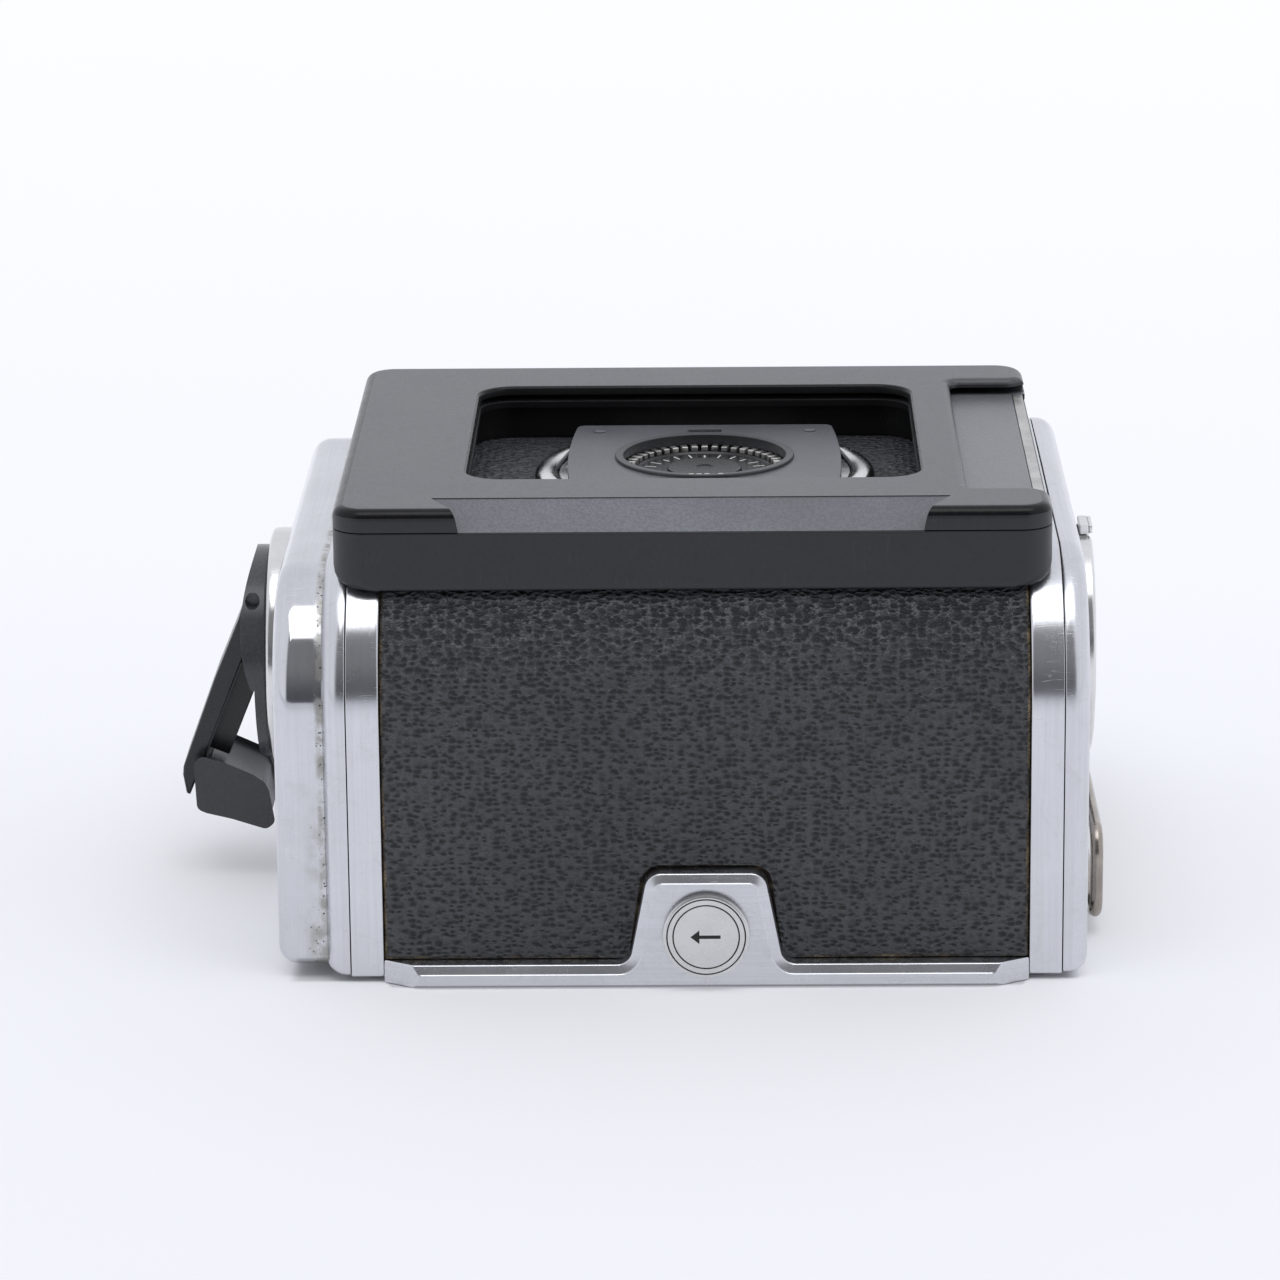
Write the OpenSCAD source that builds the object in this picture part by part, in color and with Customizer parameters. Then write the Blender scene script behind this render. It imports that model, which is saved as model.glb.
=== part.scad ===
// Roll-film magazine for a medium-format camera, lying on its front face.
// X runs across the magazine, Y along its height and Z from the front face to the back.
// The origin is the centre of the film gate, in the plane of the front face.

/* [Casing] */
// Width of the leather panel between the bright bands
panel_w = 72; // [70:0.5:74]
// Width of each bright band beside the panel
band_w = 3.7; // [3.4:0.1:4.2]
// Thickness of the plate that closes each end
end_plate_t = 2.9; // [2.6:0.1:3.2]
// Height of the casing
case_h = 88; // [87:0.5:90]
// Depth of the casing from the front face to the back
case_d = 46.6; // [46:0.1:47.4]
// Radius of the two rear corners
corner_r = 16; // [15:0.5:16.5]
// Thickness of the leather covering
skin_t = 0.8; // [0.5:0.1:0.9]
// Side of the square film gate
gate = 56; // [54:0.5:57]

/* [Gear housing] */
// How far the housing stands out of the end plate
housing_w = 5.4; // [5:0.1:6]
// How far the housing's outline lies inside the casing's
housing_inset = 1.5; // [1:0.1:2.2]

/* [Slide holder] */
// Width of the holder
holder_w = 79.8; // [78:0.2:81]
// Length of the holder
holder_l = 70.4; // [68:0.2:72]
// Height of the holder's top above the front face
holder_top = 53; // [52.6:0.1:54]

/* [Crank] */
// Height of the crank's axis above the front face
crank_z = 26.2; // [25.8:0.1:26.6]
// Length of the folding arm from its pin
arm_l = 26.5; // [24:0.1:26.6]
// Angle at which the arm rests, from the housing's face
arm_rest = 22; // [20:0.5:26]

/* [Hidden] */
$fn = 64;
eps = 0.02;

// Casing
half_h = case_h / 2;
half_w = panel_w / 2;
band_x = half_w + band_w;
end_x = band_x + end_plate_t;
edge_z = 0.5;
wall = 1.8;
chamber_z = 4.6;
seam = 0.05;

// Front plate and its raised edge
plate_t = 2.2;
plate_w = 76;
plate_h = 85;
ridge_y = half_h + 2.4;
ridge_t = 2.6;
ridge_half = half_w - 4;
tab_z = 13.2;
tab_base = 8.7;
tab_top = 6.5;
tab_r = 1.8;

// Catch
button_z = 6.3;
button_r = 4.85;
catch_travel = 2.5;

// Dark slide
blade_z = 2.45;
blade_t = 0.5;
blade_half = 30;
blade_in = -32;
slot_gap = 0.6;

// Insert
cheek_y = half_h - wall - 0.7;
cheek_z = chamber_z + 0.7;
cheek_top = case_d - wall - 0.7;
cheek_r = corner_r - wall - 0.7;
drive_cheek_x = -34.4;
key_cheek_x = 33.2;
cheek_t = 1.2;
spool_y = 28;
spool_z = case_d - corner_r - 0.1;
roller_y = 33;
roller_z = 8.5;
roller_r = 3;
lock_z = 27;
bolt_x = 36.3;
bolt_t = 1.1;

// Gears
module_mm = 0.8;
gear_x = -38.4;
gear_t = 2;
crank_teeth = 20;
takeup_teeth = 20;
takeup_idler_teeth = 15;
feed_teeth = 16;
drive_teeth = 12;
drive_y = 33;
drive_z = 6;
bore_play = 0.05;
stub_end = -41.5;
stub_r = 1.5;

crank_c = [0, crank_z];
takeup_c = [-spool_y, spool_z];
drive_c = [drive_y, drive_z];
takeup_idler_c = (crank_c + takeup_c) / 2;
feed_line = drive_c - crank_c;
feed_unit = feed_line / norm(feed_line);
feed_slack = (norm(feed_line) - pitch_r(crank_teeth) - 4 * pitch_r(feed_teeth)
    - pitch_r(drive_teeth)) / 3;
feed_a_at = pitch_r(crank_teeth) + pitch_r(feed_teeth) + feed_slack;
feed_b_at = feed_a_at + 2 * pitch_r(feed_teeth) + feed_slack;
feed_a_c = crank_c + feed_unit * feed_a_at;
feed_b_c = crank_c + feed_unit * feed_b_at;

takeup_dir = angle_of(takeup_c - crank_c);
feed_dir = angle_of(feed_line);
takeup_idler_phase = mesh_phase(0, crank_teeth, takeup_idler_teeth, takeup_dir);
takeup_phase = mesh_phase(takeup_idler_phase, takeup_idler_teeth, takeup_teeth, takeup_dir);
feed_a_phase = mesh_phase(0, crank_teeth, feed_teeth, feed_dir);
feed_b_phase = mesh_phase(feed_a_phase, feed_teeth, feed_teeth, feed_dir);
drive_phase = mesh_phase(feed_b_phase, feed_teeth, drive_teeth, feed_dir);

// Housing
housing_x = -(end_x + housing_w);
housing_y = half_h - housing_inset;
housing_z = case_d - housing_inset - 0.5;
housing_r = corner_r - housing_inset;
housing_wall = 1;
counter_c = [-25, 26.2];
counter_r = 9;
counter_window_c = [-31, 26.2];
counter_window_r = 2.6;
signal_c = [-24, 10.5];
signal_window_c = [-33, 10.5];
signal_window_r = 1.8;

// Crank
escutcheon_r = 14.5;
escutcheon_x = housing_x - 2.95;
hub_r = 12.5;
hub_x = escutcheon_x - 0.1;
hub_t = 1.35;
hub_face = hub_x - hub_t;
spindle_r = 2.5;
bush_r = 4;
pin_x = hub_face - 0.2;
pin_z = crank_z + 8.46;
pin_r = 0.6;
pin_half = 8.4;
slot_floor = hub_face + 0.9;
slot_half = 4.2;
arm_half = 4;
grip_half = 6;

// Slide holder
holder_x0 = -41.2;
holder_y0 = -38.6;
holder_seam = 50.4;
holder_floor = 51.15;
holder_slot = 0.85;
holder_bottom = 43.7;
window_x0 = -26.8;
window_y0 = -24.2;
window_w = 51.2;
window_l = 44.8;
notch_x = 29.5;
notch_y0 = -29;
notch_y1 = 23;
strip_x0 = 37.05;
strip_x1 = 38.3;

// Film-type holder on the back
dial_y = 1.5;
frame_z = case_d - 0.1;
tab_plate_z = 48;
tab_frame_r = 20;
tab_plate_top = 49;
dial_hole_r = 9.5;
dial_r = dial_hole_r + 0.55;
dial_bumps = 32;

function pitch_r(n) = n * module_mm / 2;
function angle_of(v) = atan2(v[1], v[0]);
// Phase that puts a gap of gear B opposite a tooth of gear A, with B in direction dir from A
function mesh_phase(phase_a, n_a, n_b, dir) =
    dir + 180 - (360 / n_b) * ((phase_a - dir) * n_a / 360 + 0.5);
function polar(r, a) = [r * cos(a), r * sin(a)];

// Extrudes a drawing of the Y-Z plane along X
module x_slab(x0, x1) {
    translate([x0, 0, 0]) rotate([90, 0, 90]) linear_extrude(x1 - x0) children();
}
// Extrudes a drawing of the X-Z plane along Y
module y_slab(y0, y1) {
    translate([0, y1, 0]) rotate([90, 0, 0]) linear_extrude(y1 - y0) children();
}
module z_slab(z0, z1) {
    translate([0, 0, z0]) linear_extrude(z1 - z0) children();
}
module block(x0, x1, y0, y1, z0, z1) {
    translate([x0, y0, z0]) cube([x1 - x0, y1 - y0, z1 - z0]);
}
// Cylinder along X, centred on a point of the Y-Z plane
module x_rod(c, r, x0, x1) {
    translate([x0, c[0], c[1]]) rotate([0, 90, 0]) cylinder(r = r, h = x1 - x0);
}
module y_rod(x, z, r, y0, y1) {
    translate([x, y1, z]) rotate([90, 0, 0]) cylinder(r = r, h = y1 - y0);
}
module rounded_rect(x0, x1, y0, y1, r) {
    translate([x0 + r, y0]) square([x1 - x0 - 2 * r, y1 - y0]);
    translate([x0, y0 + r]) square([x1 - x0, y1 - y0 - 2 * r]);
    for (x = [x0 + r, x1 - r], y = [y0 + r, y1 - r])
        translate([x, y]) circle(r);
}
// Side outline of the magazine: square front corners and round rear corners
module outline(y, z0, z1, r) {
    translate([-y, z0]) square([2 * y, z1 - r - z0]);
    translate([-y + r, z0]) square([2 * (y - r), z1 - z0]);
    for (s = [-1, 1])
        translate([s * (y - r), z1 - r]) circle(r);
}
module gear(c, n, phase, x0, x1) {
    r = pitch_r(n);
    p = 360 / n;
    x_slab(x0, x1) translate(c) rotate(phase)
        polygon([for (i = [0 : n - 1], k = [[-0.27, -0.9], [-0.12, 0.62], [0.12, 0.62], [0.27, -0.9]])
            polar(r + k[1] * module_mm, (i + k[0]) * p)]);
}

module tab_outline(grow = 0) {
    b = tab_base + grow;
    t = tab_top + grow;
    z = tab_z + grow;
    r = tab_r + grow;
    difference() {
        union() {
            polygon([[-b, ridge_t - 1], [b, ridge_t - 1], [b, ridge_t], [t, z - r], [t - r, z],
                [r - t, z], [-t, z - r], [-b, ridge_t]]);
            for (s = [-1, 1])
                translate([s * (t - r), z - r]) circle(r);
        }
        translate([-b - 1, -1]) square([2 * b + 2, ridge_t]);
    }
}
module casing() {
    color("gainsboro") difference() {
        x_slab(-band_x, band_x) outline(half_h, edge_z, case_d, corner_r);
        x_slab(-band_x - 1, band_x + 1)
            outline(half_h - wall, chamber_z, case_d - wall, corner_r - wall);
        x_slab(-half_w, half_w) difference() {
            translate([-half_h - 5, ridge_t]) square([case_h + 10, case_d]);
            outline(half_h - skin_t, -5, case_d - skin_t, corner_r - skin_t);
        }
        z_slab(-1, plate_t + 0.05) {
            square([plate_w + 0.1, plate_h + 0.1], center = true);
            square([panel_w + 0.1, case_h + 2], center = true);
        }
        z_slab(-1, chamber_z + 1) square(gate, center = true);
        block(blade_in - 0.5, band_x + 1, -blade_half - slot_gap, blade_half + slot_gap,
            plate_t, blade_z + blade_t + 0.15);
        block(36.4, 39.2, -blade_half - slot_gap, blade_half + slot_gap, 3, 4.25);
        drive_window();
        for (s = [-1, 1])
            block(bolt_x - 0.15, band_x + 1, s * (half_h - 1.3) - 0.5, s * (half_h - 1.3) + 0.5,
                lock_z - 2.2, lock_z + 2.2);
    }
}
module drive_window() {
    block(-40, -34.5, drive_y - 6.2, drive_y + 6.2, -1, 6);
}
module leather_cover() {
    color([0.12, 0.12, 0.13]) difference() {
        x_slab(-half_w + seam, half_w - seam) difference() {
            outline(half_h - 0.1, ridge_t + 0.1, case_d - 0.1, corner_r - 0.1);
            outline(half_h - skin_t, ridge_t - 1, case_d - skin_t, corner_r - skin_t);
        }
        y_slab(-half_h - 5, -half_h + 5) tab_outline(0.05);
    }
}
module front_plate() {
    color("silver") difference() {
        union() {
            z_slab(0, plate_t) {
                square([plate_w, plate_h], center = true);
                translate([-half_w, 0]) square([panel_w, half_h]);
                translate([-half_w, -half_h]) square([panel_w, half_h]);
            }
            z_slab(0, ridge_t) polygon([[-half_w, -half_h + eps], [-ridge_half, -ridge_y],
                [ridge_half, -ridge_y], [half_w, -half_h + eps]]);
            y_slab(-ridge_y, -half_h + skin_t - 0.05) tab_outline();
        }
        z_slab(-1, plate_t + 1) square(gate, center = true);
        drive_window();
        // channel of the catch bar, with the two slots that take the camera's hooks
        block(-28, 25, -half_h - 1.4, -half_h + 0.6, 0.6, plate_t + eps);
        for (x = [-20, 20])
            block(x - 2.5, x + 2.5, -half_h - 1.2, -half_h + 1.6, -1, 0.7);
        block(-28, 25, -half_h - eps, -half_h + 0.6, plate_t - 0.5, plate_t + 1);
        // room behind the tab for the catch
        y_slab(-half_h - 1.4, -half_h + 1) intersection() {
            tab_outline(-1);
            translate([-20, 0]) square([40, 30]);
        }
        block(-6.5, 6.5, -half_h - 1.4, -half_h + 1, 0.7, 6);
        // slot of the button's stem
        block(-catch_travel - 1.45, 1.45, -ridge_y - 1, -half_h, button_z - 1.45, button_z + 1.45);
        for (x = [-22, 22])
            block(x - 4, x + 4, 39.8, 42.6, -1, 1.4);
        for (x = [-31, 31], y = [-36, 36])
            screw_seat(x, y);
    }
}
module screw_seat(x, y) {
    translate([x, y, -0.01]) cylinder(r = 1.9, h = 0.92);
}
module front_screws() {
    color("silver") for (x = [-31, 31], y = [-36, 36])
        difference() {
            translate([x, y, 0.05]) cylinder(r = 1.85, h = 0.85);
            block(x - 2, x + 2, y - 0.2, y + 0.2, -1, 0.45);
        }
}
module catch_button() {
    color("silver") {
        y_rod(0, button_z, button_r, -ridge_y - 1.15, -ridge_y - 0.06);
        y_rod(0, button_z, 1.3, -ridge_y - 0.06 - eps, -half_h - 1.25);
    }
}
module catch_bar() {
    color("dimgray") {
        block(-24, 24, -half_h - 1.25, -half_h - 0.15, 0.85, 2.05);
        block(-2.8, 2.8, -half_h - 1.25, -half_h - 0.15, 2.05 - eps, 8.2);
    }
}
module catch_spring() {
    color("gray") for (z = [3.2, 4.4])
        block(-6.2, -2.9, -half_h - 1.05, -half_h - 0.35, z, z + 0.4);
}
module light_trap() {
    color([0.08, 0.08, 0.08])
        block(36.5, 39.1, -blade_half, blade_half, blade_z + blade_t + 0.2, 4.2);
}

module drive_side_plate() {
    color("gainsboro") difference() {
        x_slab(-end_x, -band_x - seam) outline(half_h, edge_z, case_d, corner_r);
        x_rod(crank_c, bush_r + eps, -end_x - 1, -band_x + 1);
        for (c = [takeup_idler_c, feed_a_c, feed_b_c, drive_c, takeup_c])
            x_rod(c, stub_r + bore_play, stub_end - 0.2, -band_x + 1);
        x_rod(counter_c, 1.2 + bore_play, -end_x - 1, stub_end + 0.2);
        x_rod(signal_c, 1.2 + bore_play, -end_x - 1, stub_end + 0.2);
    }
}
module gear_housing() {
    color("gainsboro") difference() {
        x_slab(housing_x, -end_x - seam) housing_outline(0);
        x_slab(housing_x + housing_wall, -end_x + 1) housing_outline(1.2);
        x_rod(crank_c, bush_r + eps, housing_x - 1, housing_x + 2);
        x_rod(counter_window_c, counter_window_r, housing_x - 1, housing_x + 2);
        x_rod(signal_window_c, signal_window_r, housing_x - 1, housing_x + 2);
        for (c = housing_screw_places)
            x_rod(c, 1.5, housing_x - 1, housing_x + 0.7);
    }
}
module housing_outline(inset) {
    outline(housing_y - inset, 1.3 + inset, housing_z - inset, housing_r - inset);
}
housing_screw_places = [[-38, 20], [38, 20], [-30, 39.5], [30, 39.5], [38, 5], [-38, 5]];
module housing_screws() {
    color("silver") for (c = housing_screw_places)
        difference() {
            x_rod(c, 1.45, housing_x + 0.05, housing_x + 0.65);
            block(housing_x - 1, housing_x + 0.35, c[0] - 0.18, c[0] + 0.18, c[1] - 2, c[1] + 2);
        }
}
module counter_window() {
    color([0.8, 0.85, 0.9, 0.4])
        x_rod(counter_window_c, counter_window_r - bore_play, housing_x + 0.1, housing_x + 0.8);
}
module signal_window() {
    color([0.8, 0.85, 0.9, 0.4])
        x_rod(signal_window_c, signal_window_r - bore_play, housing_x + 0.1, housing_x + 0.8);
}
module counter_dial() {
    color("black") {
        x_rod(counter_c, counter_r, housing_x + 1.3, housing_x + 2.1);
        x_rod(counter_c, 1.2, housing_x + 2.1 - eps, stub_end);
    }
}
module signal_flag() {
    color("firebrick") {
        x_slab(housing_x + 1.3, housing_x + 2.1) {
            rotate_at(signal_c, 180) translate([0, -2]) square([11, 4]);
            translate(signal_c) circle(3);
        }
        x_rod(signal_c, 1.2, housing_x + 2.1 - eps, stub_end);
    }
}
module rotate_at(c, a) {
    translate(c) rotate(a) children();
}
module crank_escutcheon() {
    color("gainsboro") difference() {
        x_rod(crank_c, escutcheon_r, escutcheon_x, housing_x);
        x_rod(crank_c, bush_r + eps, escutcheon_x - 1, housing_x + 1);
    }
}
module crank_bush() {
    color("goldenrod") difference() {
        x_rod(crank_c, bush_r, escutcheon_x, -band_x - 0.1);
        x_rod(crank_c, spindle_r + bore_play, escutcheon_x - 1, -band_x + 1);
    }
}

module holder_outline() {
    rounded_rect(holder_x0, holder_x0 + holder_w, holder_y0, holder_y0 + holder_l, 3.5);
}
module holder_base() {
    color([0.1, 0.1, 0.11]) difference() {
        z_slab(holder_bottom, holder_seam) holder_outline();
        x_slab(-60, 60) outline(half_h + 0.2, -1, case_d + 0.03, corner_r + 0.15);
        z_slab(holder_bottom - 1, holder_seam + 1)
            rounded_rect(window_x0 - 0.7, window_x0 + window_w + 0.7, window_y0 - 0.8,
                window_y0 + window_l + 0.8, 4.5);
    }
}
module holder_cover() {
    color([0.13, 0.13, 0.14]) difference() {
        z_slab(holder_seam, holder_top) holder_outline();
        z_slab(holder_seam - 1, holder_top + 1)
            rounded_rect(window_x0, window_x0 + window_w, window_y0, window_y0 + window_l, 4);
        // slot that stores the dark slide, and the finger notch over it
        block(-36.5, 60, -blade_half - 3.4, blade_half - 2.6, holder_floor,
            holder_floor + holder_slot);
        block(notch_x, 60, notch_y0, notch_y1, holder_floor, 60);
        block(strip_x0 - 0.05, 60, notch_y0, notch_y1, holder_seam - 1, 60);
        // sloping finger rest on the near edge
        intersection() {
            x_slab(-60, 60) polygon([[-33, holder_top + eps], [-33, 60], [-45, 60], [-45, 48.4]]);
            z_slab(40, 60) polygon([[-30.3, -33 + eps], [-24.3, -45], [21.4, -45], [27.4, -33 + eps]]);
        }
    }
}
module holder_spring() {
    color("lightgray") block(strip_x0, strip_x1, notch_y0 + 0.05, notch_y1 - 0.05,
        holder_seam + 0.03, holder_floor + 0.05);
}

module tab_frame() {
    color("gainsboro") translate([0, dial_y, 0]) rotate_extrude($fn = 96) polygon([
        [dial_hole_r + 0.6, frame_z + 0.4], [dial_hole_r + 0.6, tab_plate_z],
        [tab_frame_r - 2.2, tab_plate_z], [tab_frame_r - 1.1, tab_plate_z - 0.2],
        [tab_frame_r - 0.4, tab_plate_z - 0.6], [tab_frame_r, frame_z + 0.5],
        [tab_frame_r, frame_z], [0, frame_z], [0, frame_z + 0.4]]);
}
module tab_plate() {
    color([0.13, 0.13, 0.14]) difference() {
        union() {
            z_slab(tab_plate_z + eps, tab_plate_top) intersection() {
                rounded_rect(-16, 16, -14.3, 17.3, 1.6);
                translate([131, 1.5]) circle(147);
                translate([-131, 1.5]) circle(147);
            }
            z_slab(tab_plate_top - eps, tab_plate_top + 0.4)
                translate([0, dial_y]) circle(dial_hole_r + 1);
        }
        translate([0, dial_y, 40]) cylinder(r = dial_hole_r, h = 20);
        block(-2, 2, dial_y + 12.2, dial_y + 13.6, 40, 60);
    }
}
module tab_rivets() {
    color("gainsboro") for (x = [-12.5, 12.5], y = [-11, 14])
        translate([x, y, tab_plate_top]) cylinder(r = 0.8, h = 0.25);
}
module speed_dial() {
    color([0.2, 0.2, 0.2]) {
        translate([0, dial_y, frame_z + 0.45]) cylinder(r = dial_r, h = 0.7);
        translate([0, dial_y, 0]) for (i = [0 : dial_bumps - 1])
            rotate(i * 360 / dial_bumps)
                block(dial_r - 1.9, dial_r - 0.85, -0.42, 0.42, frame_z + 1.15 - eps, frame_z + 1.75);
    }
}

module cheek_plate(x0, x1) {
    x_slab(x0, x1) outline(cheek_y, cheek_z, cheek_top, cheek_r);
}
module insert_end_plate() {
    color("gainsboro") difference() {
        x_slab(band_x + seam, end_x) outline(half_h, edge_z, case_d, corner_r);
        x_rod([0, lock_z], 3.95, band_x - 1, end_x + 1);
        block(band_x - 1, end_x + 1, -blade_half - slot_gap, blade_half + slot_gap,
            blade_z - 0.1, blade_z + blade_t + 0.1);
    }
}
module insert_drive_cheek() {
    color([0.15, 0.15, 0.16]) difference() {
        cheek_plate(drive_cheek_x, drive_cheek_x + cheek_t);
        x_rod(takeup_c, 5, -40, -30);
        for (s = [-1, 1])
            x_rod([s * roller_y, roller_z], 0.85, -40, -30);
    }
}
module insert_key_cheek() {
    color([0.15, 0.15, 0.16]) difference() {
        cheek_plate(key_cheek_x, key_cheek_x + cheek_t);
        for (s = [-1, 1])
            x_rod([s * roller_y, roller_z], 0.85, 30, 40);
    }
}
module insert_bridge() {
    color([0.15, 0.15, 0.16])
        block(drive_cheek_x + cheek_t, key_cheek_x, -24, 24, 8.4, 10);
}
module insert_web() {
    color([0.15, 0.15, 0.16])
        block(drive_cheek_x + cheek_t, key_cheek_x, -0.9, 0.9, 10, 40);
}
module insert_spacers() {
    color("silver") for (y = [-22, 22], z = [12, 40])
        x_rod([y, z], 2, key_cheek_x + cheek_t, band_x + seam);
}
module supply_pivots() {
    color("silver") {
        x_rod([spool_y, spool_z], 3, drive_cheek_x + cheek_t, drive_cheek_x + cheek_t + 2);
        x_rod([spool_y, spool_z], 3, key_cheek_x - 2, key_cheek_x);
    }
}
module takeup_pivot() {
    color("silver") x_rod(takeup_c, 3, key_cheek_x - 3.2, key_cheek_x);
}
module takeup_spool() {
    color([0.1, 0.1, 0.1]) difference() {
        union() {
            x_rod(takeup_c, 5.9, -32.7, 32.7);
            for (x = [-32.7, 31.1])
                x_rod(takeup_c, 12.5, x, x + 1.6);
        }
        x_rod(takeup_c, 3 + bore_play, -40, -28.7);
        x_rod(takeup_c, 3 + bore_play, 28.7, 40);
        block(-33, -30.2, -spool_y - 0.8, -spool_y + 0.8, spool_z - 4.8, spool_z + 4.8);
        block(-20, 20, -spool_y - 0.7, -spool_y + 0.7, spool_z - 10, spool_z + 10);
    }
}
module pressure_plate() {
    color([0.1, 0.1, 0.1]) z_slab(5.3, 6.3) rounded_rect(-30.5, 30.5, -28.8, 28.8, 4);
}
module pressure_springs() {
    lift = 1.7;
    low = [for (i = [-8 : 8]) [i * 2.4, 6.35 + lift * i * i / 64]];
    high = [for (i = [8 : -1 : -8]) [i * 2.4, 6.65 + lift * i * i / 64]];
    color("steelblue") for (x = [-15, 15])
        x_slab(x - 3, x + 3) polygon(concat(low, high));
}
module roller(y) {
    color([0.6, 0.6, 0.6]) {
        x_rod([y, roller_z], roller_r, -32.8, 32.8);
        x_rod([y, roller_z], 0.8, drive_cheek_x + 0.1, key_cheek_x + cheek_t - 0.1);
    }
}
module roller_near() {
    roller(-roller_y);
}
module roller_far() {
    roller(roller_y);
}

module lock_disc() {
    color("gainsboro") difference() {
        union() {
            x_rod([0, lock_z], 13.5, end_x + seam, end_x + 2.6);
            x_rod([0, lock_z], 3.9, 39, end_x + 1);
        }
        x_rod([0, lock_z], 11.8, end_x + 0.9, 60);
        block(end_x + 0.9, 60, -2.6, 2.6, lock_z + 8, lock_z + 20);
    }
    color("gainsboro") for (s = [-1, 1])
        difference() {
            block(end_x + 0.9 - eps, end_x + 2.4, s * 9.7 - 0.9, s * 9.7 + 0.9,
                lock_z - 1.1, lock_z + 1.1);
            y_rod(end_x + 1.7, lock_z, 0.45, -20, 20);
        }
}
module lock_cam() {
    color("dimgray") x_slab(37.7, 39) translate([0, lock_z]) {
        circle(5);
        square([14, 4], center = true);
    }
}
module key_bow() {
    color("gainsboro") {
        difference() {
            x_slab(end_x + 1.1, end_x + 2.3) union() {
                difference() {
                    translate([0, lock_z]) circle(8.5);
                    translate([0, lock_z]) circle(5.5);
                    translate([-20, lock_z - 20]) square([40, 20]);
                }
                translate([-8.5, lock_z - 0.5]) square([17, 1.3]);
                translate([-2.25, lock_z + 8.2]) square([4.5, 6.2]);
            }
            block(0, 60, -1.2, 1.2, lock_z + 9.5, lock_z + 11);
        }
        y_rod(end_x + 1.7, lock_z, 0.4, -10.4, 10.4);
        block(end_x + 2.3 - eps, end_x + 2.7, -2.25, 2.25, lock_z + 13.4, lock_z + 14.4);
    }
}
module lock_bolt(s) {
    color("silver") block(bolt_x, bolt_x + bolt_t, s > 0 ? 8 : -half_h + 1.1,
        s > 0 ? half_h - 1.1 : -8, lock_z - 2, lock_z + 2);
}
module lock_bolt_near() {
    lock_bolt(-1);
}
module lock_bolt_far() {
    lock_bolt(1);
}
module slide_blade() {
    color("silver") z_slab(blade_z, blade_z + blade_t)
        rounded_rect(blade_in, end_x + 1.1, -blade_half, blade_half, 1);
}
module slide_handle() {
    color("silver") x_slab(end_x + 1.1, end_x + 2.6) difference() {
        rounded_rect(-29.5, 29.5, 1.5, 12.7, 3.2);
        rounded_rect(-27.9, 27.9, 3.1, 11.1, 1.6);
    }
}

module crank_hub() {
    color([0.12, 0.12, 0.12]) difference() {
        union() {
            x_rod(crank_c, hub_r, hub_face, hub_x);
            x_rod(crank_c, spindle_r, hub_x - eps, gear_x + gear_t);
            intersection() {
                x_rod(crank_c, hub_r, -60, hub_face + eps);
                y_slab(-hub_r - 1, hub_r + 1) intersection() {
                    translate([hub_face + 19.47, crank_z + 5.4]) circle(21);
                    translate([-60, crank_z - 1.5]) square([60 + hub_face + eps, 20]);
                }
            }
        }
        block(-60, slot_floor, -slot_half, slot_half, crank_z - 4.7, pin_z + 2.2);
        y_rod(pin_x, pin_z, pin_r, -20, 20);
        y_rod(pin_x, pin_z, pin_r + 0.25, -20, -pin_half);
        y_rod(pin_x, pin_z, pin_r + 0.25, pin_half, 20);
    }
}
module crank_pin() {
    color("gray") y_rod(pin_x, pin_z, pin_r, -pin_half, pin_half);
}
module crank_gear() {
    color("goldenrod") difference() {
        gear(crank_c, crank_teeth, 0, gear_x, gear_x + gear_t);
        x_rod(crank_c, spindle_r, -50, 0);
    }
}
// Places a drawing whose first axis runs along the arm and whose second points outwards
module on_arm(half) {
    y_slab(-half, half) translate([pin_x, pin_z]) rotate(-90 - arm_rest) mirror([0, 1])
        children();
}
module crank_arm() {
    color([0.12, 0.12, 0.12]) difference() {
        union() {
            on_arm(arm_half) {
                polygon([[0, -1], [0, 1], [4, 0.65], [12, 0.75], [arm_l - 3, 0.4],
                    [arm_l - 2, 0.1], [arm_l, -1.1], [arm_l, -1.58], [2.2, -1.58], [1, -1]]);
                circle(1);
            }
            on_arm(1.5) polygon([[7.3, -1.58 + eps], [9.8, -4.2], [arm_l - 5.6, -4.2],
                [arm_l - 5.6, -1.58 + eps]]);
        }
        y_rod(pin_x, pin_z, pin_r + bore_play, -20, 20);
    }
}
module crank_grip() {
    color([0.14, 0.14, 0.14])
        on_arm(grip_half) polygon([[arm_l - 4.6, -1.63], [arm_l - 5.4, -2.3],
            [arm_l - 5.35, -4], [arm_l - 5.2, -7.5], [arm_l - 4.85, -8.9], [arm_l - 4.3, -9.5],
            [arm_l - 1.2, -11.4], [arm_l - 0.55, -11.05], [arm_l - 0.4, -9.1],
            [arm_l - 0.25, -7], [arm_l + 0.2, -4.1], [arm_l + 0.1, -3.3],
            [arm_l - 3.3, -1.63]]);
}

module axle_gear(c, n, phase, x1) {
    color("goldenrod") {
        gear(c, n, phase, gear_x, x1);
        x_rod(c, stub_r, stub_end, gear_x + eps);
    }
}
module takeup_idler() {
    axle_gear(takeup_idler_c, takeup_idler_teeth, takeup_idler_phase, gear_x + gear_t);
}
module feed_idler_a() {
    axle_gear(feed_a_c, feed_teeth, feed_a_phase, gear_x + gear_t);
}
module feed_idler_b() {
    axle_gear(feed_b_c, feed_teeth, feed_b_phase, gear_x + gear_t);
}
module drive_gear() {
    axle_gear(drive_c, drive_teeth, drive_phase, -34.8);
}
module takeup_gear() {
    axle_gear(takeup_c, takeup_teeth, takeup_phase, gear_x + gear_t);
    color("goldenrod") {
        x_rod(takeup_c, 3, gear_x + gear_t - eps, -31);
        block(-33.6, -31.6, -spool_y - 0.6, -spool_y + 0.6, spool_z - 4.4, spool_z + 4.4);
    }
}

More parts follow.
